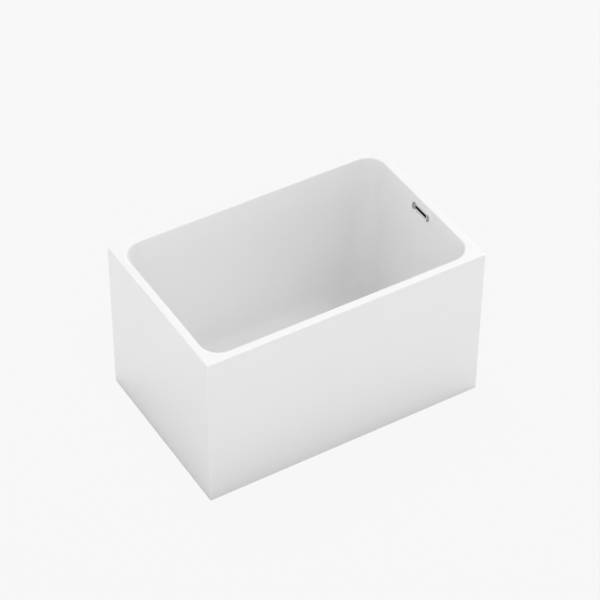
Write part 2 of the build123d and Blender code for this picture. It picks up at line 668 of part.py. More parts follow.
def plug_post():
    """Post screwed into the spider, with the shoulder that the spring stands on."""
    top = roof_height() - PLUG_TRAVEL - POST_ROOF_GAP
    shaft = upright(POST_RADIUS, SPIDER_TOP - SPIDER_THICKNESS, top, DRAIN_X)
    return shaft + upright(POST_SHOULDER_RADIUS, SPIDER_TOP, SPIDER_TOP + POST_SHOULDER_HEIGHT, DRAIN_X)


def plug_spring():
    """Coil spring between the post's shoulder and the sleeve's blind end."""
    low = SPIDER_TOP + POST_SHOULDER_HEIGHT + SPRING_WIRE / 2
    height = roof_height() - SPRING_WIRE / 2 - low
    path = Helix(height / SPRING_TURNS, height, SPRING_MEAN_RADIUS)
    wire = sweep(Plane(origin=path @ 0, z_dir=path % 0) * Circle(SPRING_WIRE / 2), path, is_frenet=True)
    return Pos(DRAIN_X, 0, low) * wire


def bezel_bevel():
    """The hollow that slopes from the bezel's border down to its slot."""
    length, height = BEZEL_LENGTH - 2 * BEZEL_BORDER, BEZEL_HEIGHT - 2 * BEZEL_BORDER
    mouth = Pos(0, 0, BEZEL_PROUD) * RectangleRounded(length, height, BEZEL_CORNER - BEZEL_BORDER)
    throat = Pos(0, 0, BEZEL_PROUD - BEVEL_DEPTH) * RectangleRounded(SLOT_LENGTH, SLOT_HEIGHT, SLOT_CORNER)
    return wall_frame() * loft([throat, mouth], ruled=True)


def overflow_bezel():
    """Chromed frame with a bevelled mouth round the overflow slot, and a spigot through the wall."""
    face = wall_bar(BEZEL_LENGTH, BEZEL_HEIGHT, BEZEL_CORNER, 0, BEZEL_PROUD)
    front = face.faces().sort_by(Axis((0, 0, 0), wall_frame().z_dir))[-1]
    face = fillet(front.edges(), BEZEL_ROUND)
    depth = -WALL_BUILD - OVERFLOW_GASKET - SPIGOT_INTO_HOUSING
    spigot = wall_bar(*spigot_outline(0), depth, CUT)
    slot = wall_bar(SLOT_LENGTH, SLOT_HEIGHT, SLOT_CORNER, depth - CUT, BEZEL_PROUD + CUT)
    return face + spigot - slot - bezel_bevel()


def overflow_gasket():
    """Rubber gasket between the laminate and the overflow housing."""
    back = -WALL_BUILD - OVERFLOW_GASKET
    length, height = HOUSING_LENGTH - 2 * GASKET_INSET, HOUSING_HEIGHT - 2 * GASKET_INSET
    sheet = wall_bar(length, height, HOUSING_CORNER, back, -WALL_BUILD)
    return sheet - wall_bar(*spigot_outline(FIT_CLEARANCE), back - CUT, CUT - WALL_BUILD)


def socket_top():
    """Height of the overflow housing's pipe socket, at its upper end."""
    return HEIGHT - OVERFLOW_DROP - HOUSING_HEIGHT / 2 - FUNNEL_LENGTH


def funnel(inset):
    """The housing's run from its box to its pipe socket, its walls moved in by inset."""
    top = HEIGHT - OVERFLOW_DROP - HOUSING_HEIGHT / 2 + HOUSING_WALL
    front = wall_frame() * Pos(0, -HOUSING_HEIGHT / 2 + HOUSING_WALL, -WALL_BUILD - OVERFLOW_GASKET)
    middle = front.position.X + HOUSING_DEPTH / 2
    depth = HOUSING_DEPTH - 2 * FUNNEL_SETBACK - 2 * inset
    mouth = Pos(middle, 0, top) * Rectangle(depth, HOUSING_LENGTH - 2 * FUNNEL_SETBACK - 2 * inset)
    side = 2 * (SOCKET_RADIUS + THROAT_MARGIN - inset)
    throat = Pos(PIPE_X, 0, socket_top()) * Rectangle(side, side)
    return loft([throat, mouth], ruled=True)


def overflow_housing():
    """Flat box behind the wall that gathers the water into the overflow pipe."""
    front = -WALL_BUILD - OVERFLOW_GASKET
    back = front - HOUSING_DEPTH
    box = wall_bar(HOUSING_LENGTH, HOUSING_HEIGHT, HOUSING_CORNER, back, front)
    length, height = HOUSING_LENGTH - 2 * HOUSING_WALL, HOUSING_HEIGHT - 2 * HOUSING_WALL
    room = wall_bar(length, height, HOUSING_CORNER / 2, back + HOUSING_WALL, front - HOUSING_WALL)
    low = socket_top() - SOCKET_DEPTH
    body = box + funnel(0) + upright(SOCKET_RADIUS, low, socket_top(), PIPE_X)
    body -= room
    body -= funnel(HOUSING_WALL)
    body -= upright(PIPE_DIAMETER / 2 + FIT_CLEARANCE, low - CUT, socket_top() - SOCKET_STOP, PIPE_X)
    body -= upright(PIPE_DIAMETER / 2 - PIPE_WALL, low, socket_top() + CUT, PIPE_X)
    return body - wall_bar(*spigot_outline(FIT_CLEARANCE), front - HOUSING_WALL - CUT, front + CUT)


def overflow_pipe():
    """Upright overflow pipe between the housing and the elbow."""
    low = INLET_Z + ELBOW_RADIUS + SOCKET_STOP + PIPE_END_GAP
    high = socket_top() - SOCKET_STOP - PIPE_END_GAP
    pipe = upright(PIPE_DIAMETER / 2, low, high, PIPE_X)
    return pipe - upright(PIPE_DIAMETER / 2 - PIPE_WALL, low - CUT, high + CUT, PIPE_X)


def overflow_elbow():
    """Elbow that turns the overflow pipe towards the waste."""
    turn = Axis((PIPE_X - ELBOW_RADIUS, 0, INLET_Z + ELBOW_RADIUS), (0, 1, 0))
    root = INLET_Z + ELBOW_RADIUS
    high = root + SOCKET_DEPTH
    left = PIPE_X - ELBOW_RADIUS - SOCKET_DEPTH

    def run(radius, socket, past):
        start = Pos(PIPE_X, 0, root) * Circle(radius)
        bend = revolve(start, turn, 90)
        bend += upright(radius, root, root + SOCKET_STOP, PIPE_X)
        bend += along_x(radius, left + SOCKET_DEPTH - SOCKET_STOP, left + SOCKET_DEPTH, 0, INLET_Z)
        bend += upright(socket, root + SOCKET_STOP, high + past, PIPE_X)
        return bend + along_x(socket, left - past, left + SOCKET_DEPTH - SOCKET_STOP, 0, INLET_Z)

    outer = run(SOCKET_RADIUS, SOCKET_RADIUS, 0)
    return outer - run(PIPE_DIAMETER / 2 - PIPE_WALL, PIPE_DIAMETER / 2 + FIT_CLEARANCE, CUT)


def overflow_lower_pipe():
    """Level overflow pipe between the elbow and the waste body."""
    start = waste_socket_end() - SOCKET_DEPTH + SOCKET_STOP + PIPE_END_GAP
    end = PIPE_X - ELBOW_RADIUS - SOCKET_STOP - PIPE_END_GAP
    pipe = along_x(PIPE_DIAMETER / 2, start, end, 0, INLET_Z)
    return pipe - along_x(PIPE_DIAMETER / 2 - PIPE_WALL, start - CUT, end + CUT, 0, INLET_Z)


def upper_coupling_nut():
    """Grip nut under the overflow housing's socket."""
    high = socket_top() - SOCKET_DEPTH - COUPLING_NUT_GAP
    ring = grip_ring(PIPE_DIAMETER / 2 + FIT_CLEARANCE, COUPLING_NUT_WALL, high - COUPLING_NUT_LENGTH, high)
    return Pos(PIPE_X, 0, 0) * ring


def lower_coupling_nut():
    """Grip nut on the level pipe beside the waste body's inlet."""
    start = waste_socket_end() + COUPLING_NUT_GAP
    ring = grip_ring(PIPE_DIAMETER / 2 + FIT_CLEARANCE, COUPLING_NUT_WALL, 0, COUPLING_NUT_LENGTH)
    return Pos(start, 0, INLET_Z) * Rot(0, 90, 0) * ring


def nodes():
    """Every node's name and its solids."""
    made = {
        "basin": basin(),
        "basin_laminate": laminate(),
        "skirt": skirt(),
        "skirt_battens": skirt_battens(),
        "rim_battens": rim_battens(),
        "floor_board": floor_board(),
        "rail_front": rail(-1),
        "rail_back": rail(1),
        "board_screws": board_screws(),
        "skirt_brackets": skirt_brackets(),
        "bracket_screws": bracket_screws(),
        "weld_nuts": weld_nuts(),
        "lock_nuts": lock_nuts(),
        "drain_sealing_ring": sealing_ring(),
        "drain_flange": drain_flange(),
        "drain_gasket": lower_gasket(),
        "waste_body": waste_body(),
        "outlet_washer": outlet_washer(),
        "outlet_nut": outlet_nut(),
        "tail_pipe": tail_pipe(),
        "plug_cap": plug_cap(),
        "plug_seal": plug_seal(),
        "plug_post": plug_post(),
        "plug_spring": plug_spring(),
        "overflow_bezel": overflow_bezel(),
        "overflow_gasket": overflow_gasket(),
        "overflow_housing": overflow_housing(),
        "overflow_pipe": overflow_pipe(),
        "overflow_elbow": overflow_elbow(),
        "overflow_lower_pipe": overflow_lower_pipe(),
        "upper_coupling_nut": upper_coupling_nut(),
        "lower_coupling_nut": lower_coupling_nut(),
    }
    for i, x in enumerate(cross_places(), 1):
        made[f"cross_tube_{i}"] = cross_tube(x)
    for i, (x, y) in enumerate(feet_places(), 1):
        made[f"foot_sole_{i}"] = foot_sole(x, y)
        made[f"foot_pad_{i}"] = foot_pad(x, y)
        made[f"foot_stud_{i}"] = foot_stud(x, y)
    return made


def main():
    """Writes one STEP file for each node."""
    os.makedirs("parts", exist_ok=True)
    for name, shape in nodes().items():
        solids = shape if isinstance(shape, list) else shape.solids()
        whole = solids[0] if len(solids) == 1 else Compound(children=list(solids))
        export_step(whole, f"parts/{name}.step")


if __name__ == "__main__":
    main()
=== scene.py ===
"""Looks of a compact freestanding bathtub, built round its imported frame.

Metres, in the frame's own axes: +X runs along the tub towards the overflow, +Y across it and +Z up.
The white shells, the chrome and the small turned parts are closed surfaces worked out here; the frame,
the boards and the pipes keep their solids and get a finish.
"""

from __future__ import annotations

import json
import logging
import math
from collections.abc import Callable
from dataclasses import dataclass
from enum import Enum
from typing import Any

import bmesh
import bpy
import numpy as np
from mathutils import Matrix, Vector


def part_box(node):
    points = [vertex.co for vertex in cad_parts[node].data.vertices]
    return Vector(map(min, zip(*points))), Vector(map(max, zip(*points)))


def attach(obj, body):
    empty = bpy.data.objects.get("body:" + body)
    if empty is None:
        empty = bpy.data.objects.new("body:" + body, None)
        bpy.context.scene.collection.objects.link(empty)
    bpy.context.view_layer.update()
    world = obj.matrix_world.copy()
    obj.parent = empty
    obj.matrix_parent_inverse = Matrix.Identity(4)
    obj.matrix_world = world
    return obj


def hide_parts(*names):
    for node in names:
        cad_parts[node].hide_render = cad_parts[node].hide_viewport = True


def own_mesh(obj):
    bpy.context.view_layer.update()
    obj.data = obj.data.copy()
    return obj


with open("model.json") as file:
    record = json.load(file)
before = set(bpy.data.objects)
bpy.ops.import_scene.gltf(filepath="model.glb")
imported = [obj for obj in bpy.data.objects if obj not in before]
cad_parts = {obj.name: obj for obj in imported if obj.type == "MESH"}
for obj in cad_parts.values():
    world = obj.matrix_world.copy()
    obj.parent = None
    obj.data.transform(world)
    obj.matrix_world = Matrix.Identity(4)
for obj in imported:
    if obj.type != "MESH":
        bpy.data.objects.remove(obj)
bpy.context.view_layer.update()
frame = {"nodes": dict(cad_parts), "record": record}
log = logging.getLogger("bathtub")

TURN = 2 * math.pi
MM = 0.001
Triple = tuple[float, float, float]
Colour = Triple


# ---------------------------------------------------------------- surfaces


@dataclass(frozen=True)
class Outline:
    """A rounded rectangle's outline, cut into the same columns whatever its size.

    Attributes:
        long_steps: steps along each side that runs in X.
        short_steps: steps along each side that runs in Y.
        corner_steps: steps round each corner.
    """

    long_steps: int
    short_steps: int
    corner_steps: int

    def weights(self) -> tuple[np.ndarray, np.ndarray]:
        """Works out where each column sits.

        Returns:
            The share of each corner centre's X and Y, and the unit direction from that centre.
        """
        signs = np.array([(1, 1), (-1, 1), (-1, -1), (1, -1)], float)
        shares, directions = [], []
        for k in range(4):
            bend = np.radians(90 * k) + np.linspace(0, math.pi / 2, self.corner_steps + 1)
            shares.append(np.repeat(signs[k : k + 1], bend.size, axis=0))
            directions.append(np.stack([np.cos(bend), np.sin(bend)], axis=1))
            steps = self.long_steps if k % 2 == 0 else self.short_steps
            along = np.linspace(0, 1, steps + 1)[1:-1, None]
            shares.append(signs[k] * (1 - along) + signs[(k + 1) % 4] * along)
            directions.append(np.repeat(directions[-1][-1:], along.size, axis=0))
        return np.concatenate(shares), np.concatenate(directions)

    def points(self, half_x: Any, half_y: Any, radius: Any) -> np.ndarray:
        """Points of the outline: share of (half size - radius), plus direction times radius.

        Args:
            half_x: half the size in X, one value or an array that broadcasts over the columns.
            half_y: half the size in Y.
            radius: the corner radius.

        Returns:
            An array of rows by columns by 2.
        """
        share, direction = self.weights()
        x = share[:, 0] * (half_x - radius) + direction[:, 0] * radius
        y = share[:, 1] * (half_y - radius) + direction[:, 1] * radius
        return np.stack(np.broadcast_arrays(x, y), axis=-1)


def column(values: Any) -> np.ndarray:
    """A list of stations as a column, so that it broadcasts over an outline's columns."""
    return np.asarray(values, float).reshape(-1, 1)


def lifted(plan: np.ndarray, height: Any) -> np.ndarray:
    """Plan points with their heights, as rows by columns by 3."""
    if plan.ndim == 2:
        plan = plan[None]
    height = np.broadcast_to(height, plan.shape[:2])
    return np.concatenate([plan, height[..., None]], axis=-1)


def between(start: np.ndarray, end: np.ndarray, steps: int) -> np.ndarray:
    """Rows that run straight from one row of points to another, both ends left out."""
    share = np.linspace(0, 1, steps + 1)[1:-1, None, None]
    return start[None] * (1 - share) + end[None] * share


def arc(start: float, end: float, steps: int) -> np.ndarray:
    """Angles from start to end in degrees, as a column in radians."""
    return column(np.radians(np.linspace(start, end, steps + 1)))


def skin(name: str, grid: np.ndarray, ring: bool = True, sharp: float = 38.0) -> bpy.types.Object:
    """Joins a grid of points into a closed piece whose columns run all the way round.

    Args:
        name: the piece's name.
        grid: rows by columns by 3.
        ring: whether the last row joins the first; otherwise both end rows shrink to a point.
        sharp: edges that turn by more than this many degrees stay crisp.

    Returns:
        The new object, with its faces outwards.
    """
    rows, columns = grid.shape[:2]
    index = np.arange(rows * columns).reshape(rows, columns)
    below = np.roll(index, -1, axis=0)
    if not ring:
        index, below = index[:-1], below[:-1]
    quads = np.stack([index, np.roll(index, -1, 1), np.roll(below, -1, 1), below], axis=-1).reshape(-1, 4)
    points = grid.reshape(-1, 3)
    a, b, c, d = (points[quads[:, i]] for i in range(4))
    volume = np.sum(np.cross(a, b) * c) + np.sum(np.cross(a, c) * d)
    if volume < 0:
        quads = quads[:, ::-1]
    mesh = bpy.data.meshes.new(name)
    mesh.from_pydata(points.tolist(), [], quads.tolist())
    if not ring:
        weld(mesh)
    return finished(name, mesh, sharp)


def weld(mesh: bpy.types.Mesh, distance: float = 1e-7) -> None:
    """Merges points that lie on each other, which closes a pole."""
    work = bmesh.new()
    work.from_mesh(mesh)
    bmesh.ops.remove_doubles(work, verts=work.verts, dist=distance)
    work.to_mesh(mesh)
    work.free()


def finished(name: str, mesh: bpy.types.Mesh, sharp: float) -> bpy.types.Object:
    """Shades a mesh smooth up to its crisp edges and puts it in the scene."""
    mesh.polygons.foreach_set("use_smooth", np.ones(len(mesh.polygons), bool))
    mesh.set_sharp_from_angle(angle=math.radians(sharp))
    mesh.update()
    piece = bpy.data.objects.new(name, mesh)
    bpy.context.scene.collection.objects.link(piece)
    return piece


def turned(
    name: str, centre: Vector, stations: list[tuple[float, float]], columns: int = 96, ring: bool = True
) -> bpy.types.Object:
    """A turned piece: each station's circle has its own radius and height.

    Args:
        name: the piece's name.
        centre: a point on the upright axis.
        stations: (radius, height) in millimetres, in order round the cross-section.
        columns: points round each circle.
        ring: whether the cross-section closes on itself, away from the axis.

    Returns:
        The new object.
    """
    angle = np.arange(columns) * TURN / columns
    path = np.array(stations) * MM
    x = centre.x + path[:, :1] * np.cos(angle)
    y = centre.y + path[:, :1] * np.sin(angle)
    z = np.broadcast_to(path[:, 1:], x.shape)
    return skin(name, np.stack([x, y, z], axis=-1), ring)


def rounded(corner: tuple[float, float], radius: float, start: float, end: float, steps: int = 5) -> list:
    """Stations round a small radius.

    Args:
        corner: the centre of the round, (radius, height) in millimetres.
        radius: the round's own radius.
        start: the first angle in degrees, 0 outwards and 90 up.
        end: the last angle.
        steps: how many steps it takes.

    Returns:
        (radius, height) pairs.
    """
    angles = np.radians(np.linspace(start, end, steps + 1))
    return [(corner[0] + radius * math.cos(a), corner[1] + radius * math.sin(a)) for a in angles]


def cut_away(piece: bpy.types.Object, cutter: bpy.types.Object, sharp: float) -> None:
    """Takes a closed cutter out of a piece and removes the cutter."""
    step = piece.modifiers.new("opening", "BOOLEAN")
    step.operation, step.solver, step.object = "DIFFERENCE", "EXACT", cutter
    graph = bpy.context.evaluated_depsgraph_get()
    mesh = bpy.data.meshes.new_from_object(piece.evaluated_get(graph))
    piece.modifiers.clear()
    piece.data = mesh
    mesh.polygons.foreach_set("use_smooth", np.ones(len(mesh.polygons), bool))
    mesh.set_sharp_from_angle(angle=math.radians(sharp))
    bpy.data.objects.remove(cutter)


# ---------------------------------------------------------------- finishes


def operator(operation: str, swapped: bool = False) -> Callable[["Wire", Any], "Wire"]:
    """An operator between a wire and a value that adds a Math node; a swapped one puts the wire second."""

    def apply(wire: "Wire", other: Any) -> "Wire":
        """Adds the node."""
        values = (other, wire) if swapped else (wire, other)
        return wire.paint.maths(operation, *values)

    return apply


class Wire:
    """A node's output that can be used in an expression on values."""

    def __init__(self, paint: "Paint", socket: bpy.types.NodeSocket) -> None:
        """Keeps the socket and the material that it belongs to."""
        self.paint = paint
        self.socket = socket

    __add__ = __radd__ = operator("ADD")
    __sub__ = operator("SUBTRACT")
    __rsub__ = operator("SUBTRACT", swapped=True)
    __mul__ = operator("MULTIPLY")
    __truediv__ = operator("DIVIDE")
    __gt__ = operator("GREATER_THAN")

    def __abs__(self) -> "Wire":
        """Size without sign."""
        return self.paint.maths("ABSOLUTE", self)

    def limit(self) -> "Wire":
        """Holds the value between 0 and 1, with the clamp of the node that made it."""
        self.socket.node.use_clamp = True
        return self


class Paint:
    """A material whose nodes are made by one method."""

    def __init__(self, name: str) -> None:
        """Starts an empty material with its output."""
        self.material = bpy.data.materials.new(name)
        self.material.use_nodes = True
        self.tree = self.material.node_tree
        self.tree.nodes.clear()
        self.place = self.node("ShaderNodeTexCoord", {}, {}, "Object")

    def node(self, kind: str, settings: dict, inputs: dict, output: Any = 0) -> Wire:
        """Adds a node.

        Args:
            kind: the node's type.
            settings: its properties, set first; "stops" are a ramp's (position, grey or colour) pairs.
            inputs: values or wires by socket name, identifier or number.
            output: the output to return.

        Returns:
            The chosen output.
        """
        made = self.tree.nodes.new(kind)
        for key, value in settings.items():
            if key == "stops":
                self._set_stops(made, value)
            else:
                setattr(made, key, value)
        for key, value in inputs.items():
            socket = self._socket(made.inputs, key)
            if isinstance(value, Wire):
                self.tree.links.new(value.socket, socket)
            elif socket.type == "RGBA" and len(value) == 3:
                socket.default_value = (*value, 1.0)
            else:
                socket.default_value = value
        return Wire(self, self._socket(made.outputs, output))

    @staticmethod
    def _socket(sockets: Any, key: Any) -> bpy.types.NodeSocket:
        """Finds a socket by number, identifier or name."""
        if isinstance(key, int):
            return sockets[key]
        return next((s for s in sockets if s.identifier == key), None) or sockets[key]

    @staticmethod
    def _set_stops(ramp: bpy.types.Node, stops: list) -> None:
        """Gives a colour ramp its stops."""
        elements = ramp.color_ramp.elements
        for i, (position, value) in enumerate(stops):
            stop = elements[i] if i < 2 else elements.new(position)
            stop.position = position
            colour = (value,) * 3 if isinstance(value, (int, float)) else value
            stop.color = (*colour, 1.0)

    def maths(self, operation: str, *values: Any) -> Wire:
        """A Math node on the given values."""
        return self.node("ShaderNodeMath", {"operation": operation}, dict(enumerate(values)))

    def axis(self, letter: str, vector: Wire | None = None) -> Wire:
        """One coordinate of a vector, or of the place on the piece."""
        return self.node("ShaderNodeSeparateXYZ", {}, {"Vector": vector or self.place}, letter)

    def noise(
        self, scale: float, detail: float = 3.0, stretch: Triple = (1, 1, 1), turn: Triple = (0, 0, 0)
    ) -> Wire:
        """Noise from 0 to 1 on the piece's own coordinates, in cycles a metre, stretched and turned."""
        where = self.node("ShaderNodeMapping", {}, {"Vector": self.place, "Scale": stretch, "Rotation": turn})
        return self.node("ShaderNodeTexNoise", {}, {"Vector": where, "Scale": scale, "Detail": detail}, "Fac")

    def ramp(self, value: Wire, *stops: tuple) -> Wire:
        """A value through a ramp."""
        return self.node("ShaderNodeValToRGB", {"stops": list(stops)}, {"Fac": value}, "Color")

    def mix(self, factor: Any, first: Any, second: Any) -> Wire:
        """A colour between two."""
        inputs = {"Factor_Float": factor, "A_Color": first, "B_Color": second}
        return self.node("ShaderNodeMix", {"data_type": "RGBA"}, inputs, "Result_Color")

    def bump(self, height: Wire) -> Wire:
        """A normal from a height in metres."""
        return self.node("ShaderNodeBump", {}, {"Height": height, "Distance": 1.0, "Strength": 1.0}, "Normal")

    def finish(self, **inputs: Any) -> bpy.types.Material:
        """Closes the material with a Principled shader.

        Args:
            **inputs: the shader's sockets, with underscores for spaces.

        Returns:
            The material.
        """
        named = {key.replace("_", " "): value for key, value in inputs.items()}
        shader = self.node("ShaderNodeBsdfPrincipled", {}, named)
        output = self.tree.nodes.new("ShaderNodeOutputMaterial")
        self.tree.links.new(shader.socket, output.inputs["Surface"])
        return self.material


def shaded(colour: Colour, share: float) -> Colour:
    """The colour times a share."""
    return tuple(c * share for c in colour)


@dataclass(frozen=True)
class GlossAcrylic:
    """White acrylic sheet with a soft gloss, drawn over a mould: waviness, orange peel, a wiped film."""

    colour: Colour = (0.965, 0.965, 0.965)
    roughness: float = 0.34
    film: float = 0.10
    wave_height: float = 0.00030
    peel_height: float = 0.000004

    def material(self) -> bpy.types.Material:
        """Builds the material."""
        paint = Paint("gloss_acrylic")
        tint = paint.mix(paint.noise(5.0), shaded(self.colour, 0.985), self.colour)
        film = paint.noise(14.0, 6.0) * self.film + (self.roughness - self.film / 2)
        height = paint.noise(4.0, 1.0) * self.wave_height + paint.noise(650.0, 1.0) * self.peel_height
        return paint.finish(Base_Color=tint, Roughness=film, Normal=paint.bump(height), IOR=1.49)


@dataclass(frozen=True)
class Laminate:
    """Chopped glass strands rolled into resin."""

    resin: Colour = (0.70, 0.72, 0.60)
    strand: Colour = (0.86, 0.87, 0.80)

    def material(self) -> bpy.types.Material:
        """Builds the material."""
        paint = Paint("glass_laminate")
        strands = None
        for i in range(5):
            layer = paint.noise(30.0, 2.0, (0.5, 14.0, 14.0), (0.3 * i, 0.9 * i, 1.25 * i))
            layer = paint.ramp(layer, (0.56, 0.0), (0.66, 1.0))
            strands = layer if strands is None else paint.maths("MAXIMUM", strands, layer)
        patches = paint.noise(9.0, 3.0)
        base = paint.mix(patches, shaded(self.resin, 0.82), self.resin)
        colour = paint.mix(strands * 0.7, base, self.strand)
        height = strands * 0.00018 + patches * 0.0008
        return paint.finish(Base_Color=colour, Roughness=0.52 - strands * 0.16, Normal=paint.bump(height))


@dataclass(frozen=True)
class Timber:
    """Planed softwood whose grain follows each strip: along X near the long sides, along Y at the ends.

    Attributes:
        long_side: how far out in Y a strip has to be for its grain to run along X.
    """

    long_side: float
    early: Colour = (0.72, 0.54, 0.33)
    late: Colour = (0.50, 0.32, 0.16)

    def material(self) -> bpy.types.Material:
        """Builds the material."""
        paint = Paint("planed_softwood")
        along_x = abs(paint.axis("Y")) > self.long_side
        grain_x = paint.noise(9.0, 5.0, (0.35, 9.0, 9.0))
        grain_y = paint.noise(9.0, 5.0, (9.0, 0.35, 9.0))
        grain = grain_x * along_x + grain_y * (1 - along_x)
        rings = paint.maths("FRACT", grain * 22.0)
        colour = paint.mix(rings, self.early, self.late)
        pores = paint.noise(220.0, 2.0, (0.15, 1.0, 1.0))
        height = rings * 0.00012 + pores * 0.00008
        return paint.finish(Base_Color=colour, Roughness=0.62 + pores * 0.15, Normal=paint.bump(height))


@dataclass(frozen=True)
class Plywood:
    """Birch plywood: pale rotary-cut faces and darker glue lines between the plies at the edge."""

    face: Colour = (0.74, 0.60, 0.40)
    dark: Colour = (0.52, 0.36, 0.20)
    ply: float = 0.0024

    def material(self) -> bpy.types.Material:
        """Builds the material."""
        paint = Paint("birch_plywood")
        figure = paint.noise(6.0, 6.0, (0.5, 5.0, 1.0))
        bands = paint.maths("FRACT", figure * 9.0)
        face = paint.mix(bands * 0.55, self.face, self.dark)
        plies = paint.maths("FRACT", paint.axis("Z") / self.ply)
        upright = paint.axis("Z", paint.node("ShaderNodeNewGeometry", {}, {}, "Normal"))
        edge = paint.ramp(abs(upright), (0.3, 1.0), (0.6, 0.0))
        stripes = paint.ramp(plies, (0.0, 0.15), (0.5, 1.0))
        colour = paint.mix(edge * stripes * 0.8, face, shaded(self.dark, 0.7))
        bump = paint.bump(bands * 0.00010 + paint.noise(300.0, 2.0) * 0.00006)
        return paint.finish(Base_Color=colour, Roughness=0.6 + bands * 0.12, Normal=bump)


@dataclass(frozen=True)
class PowderCoat:
    """Baked powder on steel tube: fine orange peel and a little dust."""

    colour: Colour = (0.10, 0.105, 0.11)
    roughness: float = 0.46

    def material(self) -> bpy.types.Material:
        """Builds the material."""
        paint = Paint("powder_coat")
        dust = paint.ramp(paint.noise(18.0, 6.0), (0.45, 0.0), (0.8, 1.0))
        colour = paint.mix(dust * 0.35, self.colour, (0.30, 0.29, 0.27))
        height = paint.noise(1100.0, 2.0) * 0.00002 + paint.noise(260.0, 1.0) * 0.00002
        rough = dust * 0.25 + self.roughness
        return paint.finish(Base_Color=colour, Roughness=rough, Normal=paint.bump(height))


@dataclass(frozen=True)
class Metal:
    """A bare metal: cloudy tone, fine marks that run round or along the piece, uneven polish.

    Attributes:
        name: the material's name.
        colour: its base colour.
        roughness: how dull it is.
        unevenness: how far the roughness wanders.
        mottle: how far the tone wanders, as a share.
        marks: height of the fine marks in metres.
        stretch: which way the marks run; a large value packs them closely along that axis.
    """

    name: str
    colour: Colour
    roughness: float
    unevenness: float = 0.08
    mottle: float = 0.12
    marks: float = 0.000003
    stretch: Triple = (1.0, 1.0, 6.0)

    def material(self) -> bpy.types.Material:
        """Builds the material."""
        paint = Paint(self.name)
        clouds = paint.noise(70.0, 4.0)
        colour = paint.mix(clouds, shaded(self.colour, 1 - self.mottle), self.colour)
        rough = paint.noise(35.0, 5.0) * self.unevenness + (self.roughness - self.unevenness / 2)
        height = paint.noise(420.0, 3.0, self.stretch) * self.marks
        return paint.finish(Base_Color=colour, Roughness=rough, Metallic=1.0, Normal=paint.bump(height))


@dataclass(frozen=True)
class ChromePaintedShadeEnds:
    """Chrome trim that is bright over its middle and duller at both ends, where a grey colour is painted on
    as shade.

    Attributes:
        bright_low: where the bright part starts, across the tub.
        bright_high: where it ends.
        bright: the bright part's colour.
        grey: the painted shade colour of both ends.
        fade: how far the change of finish runs.
    """

    bright_low: float = -0.0405
    bright_high: float = 0.0315
    bright: Colour = (0.83, 0.84, 0.85)
    grey: Colour = (0.40, 0.405, 0.41)
    fade: float = 0.002

    def material(self) -> bpy.types.Material:
        """Builds the material."""
        paint = Paint("chrome_trim")
        middle, half = (self.bright_low + self.bright_high) / 2, (self.bright_high - self.bright_low) / 2
        # share masks both ends, where painted shade turns the chrome grey.
        share = ((abs(paint.axis("Y") - middle) - half) / self.fade).limit()
        clouds = paint.noise(90.0, 3.0) * 0.25
        bright = paint.mix(clouds, self.bright, shaded(self.bright, 0.94))
        grey = paint.mix(clouds, self.grey, shaded(self.grey, 0.88))
        rough = share * 0.22 + clouds * 0.1 + 0.08
        height = paint.noise(900.0, 2.0, (1.0, 0.15, 1.0)) * 0.0000015
        # Painted shade: grey colour at both ends, bright chrome between.
        colour = paint.mix(share, bright, grey)
        return paint.finish(Base_Color=colour, Roughness=rough, Metallic=1.0, Normal=paint.bump(height))


@dataclass(frozen=True)
class Moulded:
    """Moulded plastic or rubber: matt spark-eroded texture, faint flow clouds and some dust.

    Attributes:
        name: the material's name.
        colour: its base colour.
        roughness: how dull it is.
        grain: height of the texture in metres.
        dust: how much paler dust lies in the texture.
    """

    name: str
    colour: Colour
    roughness: float
    grain: float = 0.000015
    dust: float = 0.15

    def material(self) -> bpy.types.Material:
        """Builds the material."""
        paint = Paint(self.name)
        clouds = paint.noise(24.0, 5.0)
        dust = paint.ramp(clouds, (0.45, 0.0), (0.75, 1.0)) * self.dust
        colour = paint.mix(dust, self.colour, (0.42, 0.41, 0.39))
        colour = paint.mix(paint.noise(6.0, 1.0) * 0.5, colour, shaded(self.colour, 0.92))
        height = paint.noise(1400.0, 2.0) * self.grain + paint.noise(90.0, 1.0) * (3 * self.grain)
        return paint.finish(Base_Color=colour, Roughness=dust + self.roughness, Normal=paint.bump(height))


class Slot(Enum):
    """The record's material slots."""

    ACRYLIC = "acrylic"
    LAMINATE = "laminate"
    TIMBER = "timber"
    PLYWOOD = "plywood"
    FRAME_STEEL = "frame_steel"
    ZINC = "zinc_steel"
    CHROME = "chrome"
    BRASS = "brass"
    SPRING = "spring_steel"
    RUBBER = "rubber"
    SILICONE = "silicone"
    WASTE = "waste_plastic"
    FOOT = "foot_plastic"


